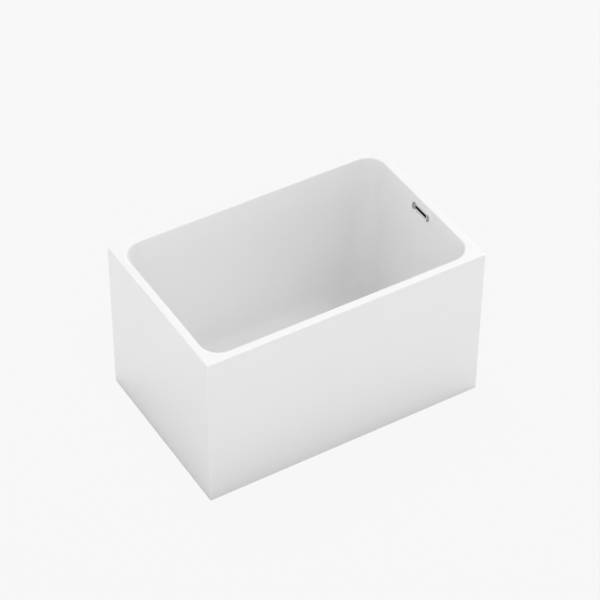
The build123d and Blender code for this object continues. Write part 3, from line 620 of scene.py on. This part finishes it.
class Wardrobe:
    """Every finish, one to a slot, made once.

    Attributes:
        batten_reach: a rim strip's depth and a little more; further in, the grain runs along Y.
    """

    batten_reach: float = 0.0135

    def __init__(self) -> None:
        """Makes the materials."""
        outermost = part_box("rim_battens")[1].y
        finishes = {
            Slot.ACRYLIC: GlossAcrylic(),
            Slot.LAMINATE: Laminate(),
            Slot.TIMBER: Timber(long_side=outermost - self.batten_reach),
            Slot.PLYWOOD: Plywood(),
            Slot.FRAME_STEEL: PowderCoat(),
            Slot.ZINC: Metal("zinc_plate", (0.66, 0.68, 0.71), 0.34, 0.16, 0.22),
            Slot.CHROME: Metal("chrome_plate", (0.83, 0.84, 0.85), 0.09, 0.05, 0.03, 0.0000006, (1, 1, 1)),
            Slot.BRASS: Metal("turned_brass", (0.72, 0.52, 0.22), 0.26, 0.10, 0.15, 0.000004),
            Slot.SPRING: Metal("spring_wire", (0.56, 0.57, 0.60), 0.24),
            Slot.RUBBER: Moulded("black_rubber", (0.028, 0.028, 0.030), 0.72, 0.00003, 0.10),
            Slot.SILICONE: Moulded("grey_silicone", (0.50, 0.50, 0.49), 0.42, 0.000008, 0.05),
            Slot.WASTE: Moulded("white_polypropylene", (0.80, 0.80, 0.78), 0.40, 0.000012, 0.06),
            Slot.FOOT: Moulded("black_nylon", (0.045, 0.045, 0.048), 0.50),
        }
        self.materials = {slot: finish.material() for slot, finish in finishes.items()}

    def dress(self, piece: bpy.types.Object, slot: Slot) -> None:
        """Gives a new piece its slot's finish."""
        piece.data.materials.clear()
        piece.data.materials.append(self.materials[slot])

    def dress_frame(self) -> None:
        """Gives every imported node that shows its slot's finish."""
        for row in frame["record"]["subparts"]:
            node = frame["nodes"][row["node"]]
            if not node.hide_render:
                for place in node.material_slots:
                    place.material = self.materials[Slot(row["material_slot"])]


def settle(
    piece: bpy.types.Object, body: str, wardrobe: Wardrobe, slot: Slot, *nodes: str
) -> bpy.types.Object:
    """Dresses a new piece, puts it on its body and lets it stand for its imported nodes.

    Args:
        piece: the new object.
        body: the body that it moves with.
        wardrobe: the finishes.
        slot: the slot that it takes its finish from.
        *nodes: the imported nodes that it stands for.

    Returns:
        The piece.
    """
    wardrobe.dress(piece, slot)
    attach(piece, body)
    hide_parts(*nodes)
    log.info("%s: %d faces on %s", piece.name, len(piece.data.polygons), body)
    return piece


# ---------------------------------------------------------------- sub-assemblies


@dataclass
class WallFrame:
    """The overflow wall's own frame: X across the tub, Y up the wall and Z into the basin.

    Attributes:
        origin: the slot's middle, on the wall's face.
        draft: the wall's lean from upright, in radians.
    """

    origin: Vector
    draft: float

    def place(self, points: np.ndarray) -> np.ndarray:
        """Local points moved into the tub's frame: origin + x·across + y·up + z·inwards."""
        lean, rise = math.sin(self.draft), math.cos(self.draft)
        axes = np.array([(0, -1, 0), (lean, 0, rise), (-rise, 0, lean)])
        return points @ axes + np.array(self.origin)


@dataclass
class Shell:
    """The basin with its rim, and the skirt round it.

    Attributes are in metres, and the draft and the fall in degrees.
    """

    rim_width: float = 0.032
    sheet: float = 0.005
    opening_radius: float = 0.072
    floor_radius: float = 0.088
    floor_fillet: float = 0.060
    floor_height: float = 0.100
    floor_fall: float = 0.5
    draft: float = 6.1
    inner_round: float = 0.006
    outer_round: float = 0.002
    corner: float = 0.005
    recess_radius: float = 0.042
    recess_depth: float = 0.005
    recess_round: float = 0.0015
    hole_radius: float = 0.025
    overflow_drop: float = 0.044
    slot_cut: Triple = (0.070, 0.018, 0.006)
    cutter_reach: float = 0.030
    seat_chamfer: float = 0.001
    skirt_round: float = 0.001
    crisp: float = 38.0

    def __post_init__(self) -> None:
        """Reads the overall size and the drain's place from the frame."""
        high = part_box("basin")[1]
        self.half_x, self.half_y, self.top = high.x, high.y, high.z
        low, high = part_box("drain_flange")
        self.drain = np.array([(low.x + high.x) / 2, (low.y + high.y) / 2])
        self.lean = math.radians(self.draft)
        self.outline = Outline(long_steps=64, short_steps=40, corner_steps=18)

    @property
    def wall_frame(self) -> WallFrame:
        """The frame of the wall that the overflow goes through."""
        x = self.half_x - self.rim_width - self.overflow_drop * math.tan(self.lean)
        return WallFrame(Vector((x, 0.0, self.top - self.overflow_drop)), self.lean)

    def outline_at(self, outwards: Any, radius: Any) -> np.ndarray:
        """The opening's outline moved outwards by an amount, with its own corner radius."""
        edge_x, edge_y = self.half_x - self.rim_width, self.half_y - self.rim_width
        return self.outline.points(edge_x + outwards, edge_y + outwards, radius)

    def outside(self, inset: Any) -> np.ndarray:
        """The tub's outer outline moved inwards by an amount."""
        return self.outline.points(self.half_x - inset, self.half_y - inset, self.corner - inset)

    def corner_radius(self, z: Any) -> Any:
        """The wall's corner radius: it grows evenly from the opening down to the floor."""
        share = (self.top - z) / (self.top - self.floor_height)
        return self.opening_radius + (self.floor_radius - self.opening_radius) * share

    def fall_at(self, x: np.ndarray) -> np.ndarray:
        """How far the floor stands above its height at the drain."""
        return (self.drain[0] - x) * math.tan(math.radians(self.floor_fall))

    def wall_side(self, offset: float, top_row: np.ndarray, steps: int) -> np.ndarray:
        """One side of the walls, from a top row down to the edge of the flat floor.

        The wall runs straight from the top row to the floor fillet, and the fillet is a quarter-turn
        about a centre one fillet radius above the floor, all the way round the outline.

        Args:
            offset: 0 for the inside, or the sheet's thickness for the outside.
            top_row: the row that the wall starts from.
            steps: steps down the wall.

        Returns:
            Rows by columns by 3, without the top row.
        """
        nominal = self.outline_at(-(self.top - self.floor_height) * math.tan(self.lean), self.floor_radius)
        centre_z = self.floor_height + self.floor_fillet + self.fall_at(nominal[:, 0])
        reach = self.floor_fillet + offset
        run = math.sin(self.lean) * (centre_z - self.top)
        centre_u = (run - reach) / math.cos(self.lean) + offset
        angle = arc(-self.draft, -90, 14)
        outwards = centre_u + reach * np.cos(angle)
        z = centre_z + reach * np.sin(angle)
        radius = self.corner_radius(z[:1]) + offset - (outwards[:1] - outwards)
        fillet = lifted(self.outline_at(outwards, radius), z)
        return np.concatenate([between(top_row, fillet[0], steps), fillet])

    def circle_row(self, plan: np.ndarray, radius: float, z: Any) -> np.ndarray:
        """A circle round the drain whose columns face those of a plan outline."""
        way = plan - self.drain
        way = way / np.linalg.norm(way, axis=1, keepdims=True)
        return lifted(self.drain + radius * way, z)[0]

    def inside(self, rim_edge: np.ndarray) -> np.ndarray:
        """The bathing side: wall, fillet, floor with its fall, drain recess."""
        wall = self.wall_side(0.0, rim_edge, 40)
        plan = wall[-1, :, :2]
        lip = self.recess_radius + self.recess_round
        lip_plan = self.circle_row(plan, lip, 0.0)
        lip_row = lip_plan + np.array([0, 0, 1]) * (self.floor_height + self.fall_at(lip_plan[:, 0]))[:, None]
        floor = between(wall[-1], lip_row, 26)
        seat = self.floor_height - self.recess_depth
        reach, soft, cut = self.recess_radius, self.recess_round, self.seat_chamfer
        stations = [
            (reach + soft * (1 - math.sin(a)), self.floor_height - soft * (1 - math.cos(a)))
            for a in np.radians([22.5, 45, 67.5, 90])
        ]
        stations += [(reach, seat + cut), (reach - cut, seat), (self.hole_radius, seat)]
        recess = np.stack([self.circle_row(plan, radius, z) for radius, z in stations])
        return np.concatenate([wall, floor, lip_row[None], recess])

    def underside(self, inside_edge: np.ndarray, flange_row: np.ndarray) -> np.ndarray:
        """The hidden side, from the drain hole back up to the rim's underside."""
        wall = self.wall_side(self.sheet, flange_row, 24)
        plan = inside_edge[:, :2]
        seat = self.floor_height - self.recess_depth
        boss = self.recess_radius + self.sheet
        low_rows = [self.circle_row(plan, radius, seat - self.sheet) for radius in (self.hole_radius, boss)]
        boss_row = self.circle_row(plan, boss, self.floor_height - self.sheet)
        boss_row[:, 2] += self.fall_at(boss_row[:, 0])
        return np.concatenate([np.stack([*low_rows, boss_row]), between(boss_row, wall[-1], 10), wall[::-1]])

    def basin(self) -> bpy.types.Object:
        """One closed sheet: rim, inside, drain hole, underside and back to the rim."""
        angle = arc(90, 180 - self.draft, 8)
        centre = self.inner_round * (1 - math.sin(self.lean)) / math.cos(self.lean)
        outwards = centre + self.inner_round * np.cos(angle)
        z = self.top - self.inner_round + self.inner_round * np.sin(angle)
        edge = lifted(self.outline_at(outwards, self.opening_radius + outwards), z)
        inside = self.inside(edge[-1])
        below = self.top - self.sheet
        start = self.sheet - self.sheet * math.tan(self.lean)
        flange = lifted(self.outline_at(start, self.opening_radius + start), below)[0]
        underside = self.underside(inside[-1], flange)
        side = lifted(self.outside(0.0), below)[0]
        turn = arc(0, 90, 6)
        plan = self.outside(self.outer_round * (1 - np.cos(turn)))
        outer = lifted(plan, self.top - self.outer_round * (1 - np.sin(turn)))
        rim = between(outer[-1], edge[0], 4)
        grid = np.concatenate([edge, inside, underside, flange[None], side[None], outer, rim])
        piece = skin("basin_shell", grid, sharp=self.crisp)
        cut_away(piece, self.slot_cutter(), self.crisp)
        return piece

    def slot_cutter(self) -> bpy.types.Object:
        """A closed bar through the overflow wall."""
        length, height, radius = self.slot_cut
        bar = Outline(4, 2, 6)
        plan = bar.points(column([length / 2] * 2), column([height / 2] * 2), radius)
        ends = lifted(plan, column([-self.cutter_reach, self.cutter_reach]))
        middles = np.repeat(ends.mean(axis=1, keepdims=True), ends.shape[1], axis=1)
        grid = np.concatenate([middles[:1], ends, middles[1:]])
        return skin("slot_cutter", self.wall_frame.place(grid), ring=False)

    def skirt(self) -> bpy.types.Object:
        """The apron: outside face, softened lower edge, inside face."""
        low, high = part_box("skirt")
        soft, turn = self.skirt_round, arc(0, 90, 4)
        foot = lifted(self.outside(soft * (1 - np.cos(turn))), low.z + soft - soft * np.sin(turn))
        head = lifted(self.outside(0.0), high.z)
        hollow = self.outline.points(self.half_x - self.sheet, self.half_y - self.sheet, soft)
        inner = np.concatenate([lifted(hollow, low.z), lifted(hollow, high.z)])
        outside = [head, between(head[0], foot[0], 12), foot]
        inside = [inner[:1], between(inner[0], inner[1], 12), inner[1:]]
        return skin("skirt_apron", np.concatenate(outside + inside), sharp=self.crisp)

    def build(self, wardrobe: Wardrobe) -> None:
        """Makes both shells."""
        settle(self.basin(), "tub", wardrobe, Slot.ACRYLIC, "basin")
        settle(self.skirt(), "tub", wardrobe, Slot.ACRYLIC, "skirt")


@dataclass
class Overflow:
    """The chrome trim round the overflow slot, grey at its ends with painted shade, and the sleeve that lines
    its throat, near-black with painted shade for the slot's depth; sizes in metres.

    Attributes:
        wall: the frame of the wall that it sits on.
        proud: how far the plate stands over the wall.
        border: width of the flat band round the mouth.
        throat_depth: how far under the wall's face the mouth ends.
        mouth_power: how sharply the mouth steepens; 1 is a straight slope.
        sleeve_depth: how far under the wall's face the sleeve ends.
    """

    wall: WallFrame
    length: float = 0.104
    height: float = 0.0272
    corner: float = 0.0098
    proud: float = 0.003
    edge_round: float = 0.0012
    border: float = 0.0026
    throat_length: float = 0.065
    throat_height: float = 0.0136
    throat_corner: float = 0.003
    throat_depth: float = 0.0018
    mouth_power: float = 1.6
    sleeve_wall: float = 0.002
    sleeve_depth: float = 0.0118
    crisp: float = 28.0

    def __post_init__(self) -> None:
        """Works out the throat's half sizes, inside and outside the sleeve."""
        self.outline = Outline(long_steps=32, short_steps=10, corner_steps=10)
        self.inner = np.array([self.throat_length / 2, self.throat_height / 2, self.throat_corner])
        self.outer = self.inner + self.sleeve_wall

    def ring(self, sizes: np.ndarray, height: float) -> np.ndarray:
        """One row: half length, half height and corner radius, at a height over the wall."""
        return lifted(self.outline.points(*sizes), height)

    def trim(self) -> bpy.types.Object:
        """Rounded outer edge, flat border, then a mouth whose outline shrinks evenly while its depth grows
        as a power of the way in, so that it steepens towards the slot."""
        plate = np.array([self.length / 2, self.height / 2, self.corner])
        turn = arc(0, 90, 5)
        inset = self.edge_round * (1 - np.cos(turn))
        rise = self.proud - self.edge_round * (1 - np.sin(turn))
        edge = lifted(self.outline.points(*(size - inset for size in plate)), rise)
        way = column(np.linspace(0, 1, 11))
        start = plate - self.border
        sizes = [first + (last - first) * way for first, last in zip(start, self.inner)]
        depth = self.proud - (self.proud + self.throat_depth) * way**self.mouth_power
        mouth = lifted(self.outline.points(*sizes), depth)
        grid = np.concatenate([self.ring(self.outer, 0.0), self.ring(plate, 0.0), edge, mouth])
        return skin("overflow_trim", self.wall.place(grid), sharp=self.crisp)

    def sleeve(self) -> bpy.types.Object:
        """A short tube that follows the throat through the wall."""
        inside = [self.ring(self.inner, -self.throat_depth), self.ring(self.inner, -self.sleeve_depth)]
        outside = [self.ring(self.outer, -self.sleeve_depth), self.ring(self.outer, 0.0)]
        grid = np.concatenate(inside + outside)
        return skin("overflow_spigot", self.wall.place(grid), sharp=self.crisp)

    def build(self, wardrobe: Wardrobe) -> None:
        """Makes the trim, whose ends are grey with painted shade, and the sleeve, near-black with painted
        shade for the depth of the slot.
        """
        trim = settle(self.trim(), "tub", wardrobe, Slot.CHROME, "overflow_bezel")
        # This finish paints shade on both ends of the chrome trim.
        trim.data.materials[0] = ChromePaintedShadeEnds().material()
        sleeve = settle(self.sleeve(), "tub", wardrobe, Slot.CHROME, "overflow_bezel")
        # The sleeve's near-black colour is painted shade for the depth of the slot.
        sleeve.data.materials[0] = Moulded("painted_shade_liner", (0.018, 0.018, 0.019), 0.5).material()


def levels(node: str) -> tuple[float, float, float]:
    """An upright node's bottom, top and radius in millimetres, from the frame."""
    low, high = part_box(node)
    return low.z / MM, high.z / MM, (high.x - low.x) / 2 / MM


@dataclass
class Drain:
    """The drain flange with its spider, and the pop-up plug. Sizes are in millimetres."""

    barrel_wall: float = 3.0
    bore: float = 20.0
    flange_thickness: float = 3.0
    arm: float = 4.0
    hub: float = 8.0
    spider_thickness: float = 4.0
    post: float = 4.1
    cap_edge: float = 1.5
    cap_dome: float = 3.5
    hub_radius: float = 17.0
    hub_drop: float = 5.5
    sleeve: float = 9.0
    sleeve_bore: float = 7.3
    roof: float = 2.0
    wire: float = 0.6
    coil: float = 5.2
    turns: int = 7
    travel: float = 10.0
    flange_round: float = 1.4
    mouth_round: float = 2.2
    small_chamfer: float = 0.5
    barrel_chamfer: float = 0.8
    flange_chamfer: float = 0.3
    spider_rise: float = 2.0
    arm_bite: float = 0.4
    edge_roll: float = 0.75
    edge_inset: float = 0.8
    seal_gap: float = 0.1
    end_rise: float = 0.18

    def __post_init__(self) -> None:
        """Reads the drain's place and levels from the frame."""
        low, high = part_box("drain_flange")
        self.centre = (low + high) / 2
        self.low, self.top, self.outer = levels("drain_flange")

    def flange(self) -> bpy.types.Object:
        """Flange and barrel: rounded rim, eased mouth, plain bore."""
        under = self.top - self.flange_thickness
        soft, mouth, ease = self.flange_round, self.mouth_round, self.small_chamfer
        path = rounded((self.outer - soft, self.top - soft), soft, 0, 90)
        path += rounded((self.bore + mouth, self.top - mouth), mouth, 90, 180)
        path += [(self.bore, self.low + ease), (self.bore + ease, self.low)]
        barrel, cut = self.bore + self.barrel_wall, self.barrel_chamfer
        path += [(barrel - cut, self.low), (barrel, self.low + cut), (barrel, under)]
        path += [(self.outer - self.flange_chamfer, under), (self.outer, under + self.flange_chamfer)]
        return turned("drain_ring", self.centre, path, 128)

    def spider(self) -> bpy.types.Object:
        """Four arms and a hub: from the middle, each direction reaches the hub or, along an arm, the bore."""
        angle = np.arange(256) * TURN / 256
        off = (angle + math.pi / 4) % (math.pi / 2) - math.pi / 4
        arm = np.minimum(self.bore + self.arm_bite, self.arm / 2 / np.maximum(np.abs(np.sin(off)), 1e-6))
        reach = np.maximum(self.hub, arm)
        level, ease = self.low + self.spider_rise, self.small_chamfer
        top = level + self.spider_thickness
        radii = [self.post, reach - ease, reach, reach, reach - ease, self.post]
        heights = [level, level, level + ease, top - ease, top, top]
        rows = [
            np.stack([r * np.cos(angle), r * np.sin(angle), np.full_like(angle, z)], axis=-1)
            for r, z in zip(radii, heights)
        ]
        middle = np.array([self.centre.x, self.centre.y, 0.0])
        return skin("drain_spider", np.stack(rows) * MM + middle, sharp=30)

    def cap(self) -> bpy.types.Object:
        """Domed cap: sphere part, rolled edge, hub, sleeve and blind bore."""
        bottom, top, half = levels("plug_cap")
        flat = top - self.cap_dome - self.cap_edge
        radius = (half**2 + self.cap_dome**2) / (2 * self.cap_dome)
        roll, inset, ease = self.edge_roll, self.edge_inset, self.small_chamfer
        reach = np.linspace(0, half - inset, 22)
        path = [(r, top - radius + math.sqrt(radius**2 - r**2)) for r in reach]
        path += rounded((half - roll, flat + roll), roll, 55, -90, 7)
        path += [(self.hub_radius, flat)]
        path += rounded((self.hub_radius - inset, flat - self.hub_drop + inset), inset, 0, -90)
        path += [(self.sleeve, flat - self.hub_drop), (self.sleeve, bottom + ease)]
        path += [(self.sleeve - ease, bottom), (self.sleeve_bore, bottom)]
        roof = flat - self.roof
        path += [(self.sleeve_bore, roof), (0.0, roof)]
        return turned("plug_dome", self.centre, path, 128, ring=False)

    def seal(self) -> bpy.types.Object:
        """Flat washer with a rolled outer lip."""
        bottom, top, outer = levels("plug_seal")
        inner, soft = self.hub_radius + self.seal_gap, (top - bottom) / 2
        path = rounded((outer - soft, bottom + soft), soft, -90, 90, 8)
        path += [(inner, top), (inner, bottom)]
        return turned("plug_washer", self.centre, path, 96)

    def spring(self) -> bpy.types.Object:
        """Round wire along a helix whose rise eases off over its first and last turn, with rounded ends."""
        low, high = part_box("plug_spring")
        bottom, top = low.z + self.wire * MM, high.z - self.wire * MM
        share = np.linspace(0, 1, self.turns * 40 + 1)
        ease = 1 / self.turns
        rise = np.clip(share / ease, self.end_rise, 1) * np.clip((1 - share) / ease, self.end_rise, 1)
        climb = np.concatenate([[0], np.cumsum((rise[1:] + rise[:-1]) / 2)])
        z = bottom + (top - bottom) * climb / climb[-1]
        angle = share * self.turns * TURN
        radius = self.coil * MM
        x = self.centre.x + radius * np.cos(angle)
        y = self.centre.y + radius * np.sin(angle)
        path = np.stack([x, y, z], axis=-1)
        out = np.stack([np.cos(angle), np.sin(angle), np.zeros_like(angle)], axis=-1)
        run = np.gradient(path, axis=0)
        run /= np.linalg.norm(run, axis=1, keepdims=True)
        side = np.cross(run, out)
        thick = np.full(share.size, self.wire * MM)
        thick[[0, -1]] = 0.0
        round_wire = np.arange(10) * TURN / 10
        grid = (
            path[:, None]
            + thick[:, None, None] * np.cos(round_wire)[None, :, None] * out[:, None]
            + thick[:, None, None] * np.sin(round_wire)[None, :, None] * side[:, None]
        )
        return skin("plug_coil", grid, ring=False, sharp=60)

    def build(self, wardrobe: Wardrobe) -> None:
        """Makes the drain's pieces and gives the spring a mesh of its own."""
        settle(self.flange(), "tub", wardrobe, Slot.CHROME, "drain_flange")
        settle(self.spider(), "tub", wardrobe, Slot.CHROME, "drain_flange")
        settle(self.cap(), "plug", wardrobe, Slot.CHROME, "plug_cap")
        settle(self.seal(), "plug", wardrobe, Slot.RUBBER, "plug_seal")
        spring = settle(self.spring(), "tub", wardrobe, Slot.SPRING, "plug_spring")
        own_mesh(spring)


@dataclass
class Studs:
    """The feet's threaded studs with their hexagonal collars. Sizes are in millimetres."""

    count: int = 4
    radius: float = 6.0
    pitch: float = 1.75
    thread_depth: float = 0.9
    collar_low: float = 13.6
    collar_height: float = 5.0
    across_flats: float = 17.0
    foot_chamfer: float = 0.6
    collar_inset: float = 0.5
    collar_chamfer: float = 0.4
    thread_ease: float = 2.0
    tip_height: float = 1.0
    tip_inset: float = 1.2

    def rod(self, index: int) -> bpy.types.Object:
        """One stud: its radius follows a triangle wave of height and angle, and a hexagon at the collar."""
        low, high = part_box(f"foot_stud_{index}")
        centre = (low + high) / 2
        bottom, top, _ = levels(f"foot_stud_{index}")
        angle = np.arange(36) * TURN / 36
        hexagon = self.across_flats / 2 / np.cos((angle + math.pi / 6) % (math.pi / 3) - math.pi / 6)
        collar_top = self.collar_low + self.collar_height
        z = np.arange(collar_top, top - self.tip_height, self.pitch / 6)
        phase = (z[:, None] / self.pitch - angle / TURN) % 1
        thread = self.radius - self.thread_depth * np.abs(2 * phase - 1)
        ease = np.clip((z - collar_top) / self.thread_ease, 0, 1)[:, None]
        thread = thread * ease + (self.radius - self.thread_depth / 2) * (1 - ease)
        plain = np.ones((1, angle.size))
        rows = [
            (0.0, bottom),
            (self.radius - self.foot_chamfer, bottom),
            (self.radius, bottom + self.foot_chamfer),
            (self.radius, self.collar_low),
        ]
        inset, cut = self.collar_inset, self.collar_chamfer
        collar = [(-inset, self.collar_low), (0.0, self.collar_low + cut)]
        collar += [(0.0, collar_top - cut), (-inset, collar_top)]
        radii = [plain * r for r, _ in rows] + [hexagon[None] + step for step, _ in collar]
        radii += [thread, plain * (self.radius - self.tip_inset), plain * 0.0]
        heights = np.concatenate([[h for _, h in rows], [h for _, h in collar], z, [top, top]])
        reach = np.concatenate(radii)
        x, y = reach * np.cos(angle), reach * np.sin(angle)
        grid = np.stack([x, y, np.broadcast_to(heights[:, None], x.shape)], axis=-1) * MM
        return skin(f"levelling_stud_{index}", grid + np.array([centre.x, centre.y, 0]), ring=False, sharp=25)

    def build(self, wardrobe: Wardrobe) -> None:
        """Makes every stud."""
        for index in range(1, self.count + 1):
            settle(self.rod(index), f"foot_stud_{index}", wardrobe, Slot.ZINC, f"foot_stud_{index}")


# ---------------------------------------------------------------- studio


@dataclass(frozen=True)
class Studio:
    """Pale floor, a hidden floor with a painted shadow that lights the tub, soft sky, a broad lamp behind the
    tub and the camera.

    Attributes:
        zenith: the sky's strength straight up.
        horizon: its strength level with the floor.
        lamp_strength: the broad lamp's strength.
        lamp_spread: the lamp's width, in degrees.
        lamp_azimuth: where the lamp stands, in degrees from +X towards +Y.
        lamp_elevation: how high it stands, in degrees.
        floor_reach: half the floor's width.
        bounce_level: the height of the floor that lights the tub.
        sweep_level: the height of the sweep that shows.
        near_grey: how pale the floor is beside the tub, darkened there as painted shadow of the tub.
        far_grey: how pale it is further away.
        side_reach: how far the painted shadow runs out past the tub's ends.
        front_reach: how far it runs out past its long sides.
        backdrop: how bright the plain backdrop shows.
        camera_place: where the camera stands.
        camera_azimuth: its direction round the tub, in degrees.
        camera_elevation: its height over the tub, in degrees.
        camera_roll: its turn about its own axis, in degrees.
        lens: the focal length in millimetres.
    """

    zenith: float = 0.44
    horizon: float = 1.087
    lamp_strength: float = 1.15
    lamp_spread: float = 32.0
    lamp_azimuth: float = 31.0
    lamp_elevation: float = 58.0
    floor_reach: float = 40.0
    bounce_level: float = -0.0005
    sweep_level: float = -0.001
    near_grey: float = 0.69
    far_grey: float = 0.88
    side_reach: float = 0.09
    front_reach: float = 0.42
    backdrop: float = 0.915
    camera_place: Triple = (-3.247, -5.355, 6.005)
    camera_azimuth: float = -31.36
    camera_elevation: float = 41.79
    camera_roll: float = 0.42
    lens: float = 143.9

    def sheet(self, name: str, level: float, material: bpy.types.Material) -> bpy.types.Object:
        """A wide level sheet."""
        reach = self.floor_reach
        corners = [(x * reach, y * reach, level) for x, y in ((-1, -1), (1, -1), (1, 1), (-1, 1))]
        mesh = bpy.data.meshes.new(name)
        mesh.from_pydata(corners, [], [(0, 1, 2, 3)])
        mesh.materials.append(material)
        sheet = bpy.data.objects.new(name, mesh)
        bpy.context.scene.collection.objects.link(sheet)
        return sheet

    def bounce_paint(self) -> bpy.types.Material:
        """A floor with a painted shadow, darker beside the tub: its tone follows the distance from the tub's
        box, measured against one reach past the ends and another past the long sides."""
        paint = Paint("floor_bounce")
        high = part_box("skirt")[1]
        out_x = paint.maths("MAXIMUM", abs(paint.axis("X")) - high.x, 0.0) / self.side_reach
        out_y = paint.maths("MAXIMUM", abs(paint.axis("Y")) - high.y, 0.0) / self.front_reach
        share = paint.maths("SQRT", out_x * out_x + out_y * out_y)
        # Painted shadow: the tone runs from near_grey next to the tub to far_grey further out.
        tone = paint.ramp(share, (0.0, self.near_grey), (1.0, self.far_grey))
        return paint.finish(Base_Color=tone, Roughness=0.9)

    def backdrop_paint(self) -> bpy.types.Material:
        """The plain pale sweep that shows behind the tub."""
        paint = Paint("floor_sweep")
        tone = paint.mix(paint.noise(0.5), (0.0, 0.0, 0.0), (0.002, 0.002, 0.002))
        glow = {"Emission_Color": (1.0, 1.0, 1.0), "Emission_Strength": self.backdrop}
        return paint.finish(Base_Color=tone, Roughness=1.0, **glow)

    def lay_floor(self) -> None:
        """Lays the floor that lights the tub, with its painted shadow, and, just under it, the pale sweep
        that shows.
        """
        bounce = self.sheet("floor_bounce", self.bounce_level, self.bounce_paint())
        bounce.visible_camera = False
        sweep = self.sheet("floor_sweep", self.sweep_level, self.backdrop_paint())
        sweep.visible_diffuse = sweep.visible_glossy = False

    def light(self) -> None:
        """A sky that runs from its horizon to its zenith strength, and the broad lamp."""
        world = bpy.data.worlds.new("studio_sky")
        world.use_nodes = True
        nodes, links = world.node_tree.nodes, world.node_tree.links
        sky = nodes["Background"]
        sky.inputs["Color"].default_value = (1.0, 1.0, 1.0, 1.0)
        way = nodes.new("ShaderNodeTexCoord")
        split = nodes.new("ShaderNodeSeparateXYZ")
        rise = nodes.new("ShaderNodeMapRange")
        rise.inputs["To Min"].default_value = self.horizon
        rise.inputs["To Max"].default_value = self.zenith
        links.new(way.outputs["Generated"], split.inputs[0])
        links.new(split.outputs["Z"], rise.inputs["Value"])
        links.new(rise.outputs["Result"], sky.inputs["Strength"])
        bpy.context.scene.world = world
        data = bpy.data.lights.new("broad_lamp", "SUN")
        data.energy, data.angle = self.lamp_strength, math.radians(self.lamp_spread)
        lamp = bpy.data.objects.new("broad_lamp", data)
        azimuth, elevation = math.radians(self.lamp_azimuth), math.radians(self.lamp_elevation)
        level = math.cos(elevation)
        towards = Vector((math.cos(azimuth) * level, math.sin(azimuth) * level, math.sin(elevation)))
        lamp.matrix_world = towards.to_track_quat("Z", "Y").to_matrix().to_4x4()
        bpy.context.scene.collection.objects.link(lamp)

    def camera(self) -> None:
        """A long lens, looking down from the front left."""
        azimuth, elevation = math.radians(self.camera_azimuth), math.radians(self.camera_elevation)
        level = math.cos(elevation)
        back = Vector((math.sin(azimuth) * level, -math.cos(azimuth) * level, math.sin(elevation)))
        data = bpy.data.cameras.new("studio_camera")
        data.lens, data.sensor_width = self.lens, 36.0
        data.clip_end = 100.0
        camera = bpy.data.objects.new("studio_camera", data)
        roll = Matrix.Rotation(math.radians(self.camera_roll), 4, "Z")
        turn = (-back).to_track_quat("-Z", "Y").to_matrix().to_4x4()
        camera.matrix_world = Matrix.Translation(self.camera_place) @ turn @ roll
        bpy.context.scene.collection.objects.link(camera)
        bpy.context.scene.camera = camera

    def build(self) -> None:
        """Sets up the floor, the light, the camera and the plain tone curve."""
        self.lay_floor()
        self.light()
        self.camera()
        view = bpy.context.scene.view_settings
        view.view_transform, view.look = "Standard", "None"


def main() -> None:
    """Builds the tub's looks and the studio."""
    logging.basicConfig(level=logging.INFO, format="%(name)s: %(message)s")
    wardrobe = Wardrobe()
    Studio().build()
    shell = Shell()
    shell.build(wardrobe)
    Overflow(shell.wall_frame).build(wardrobe)
    Drain().build(wardrobe)
    Studs().build(wardrobe)
    wardrobe.dress_frame()


if __name__ == "__main__":
    main()
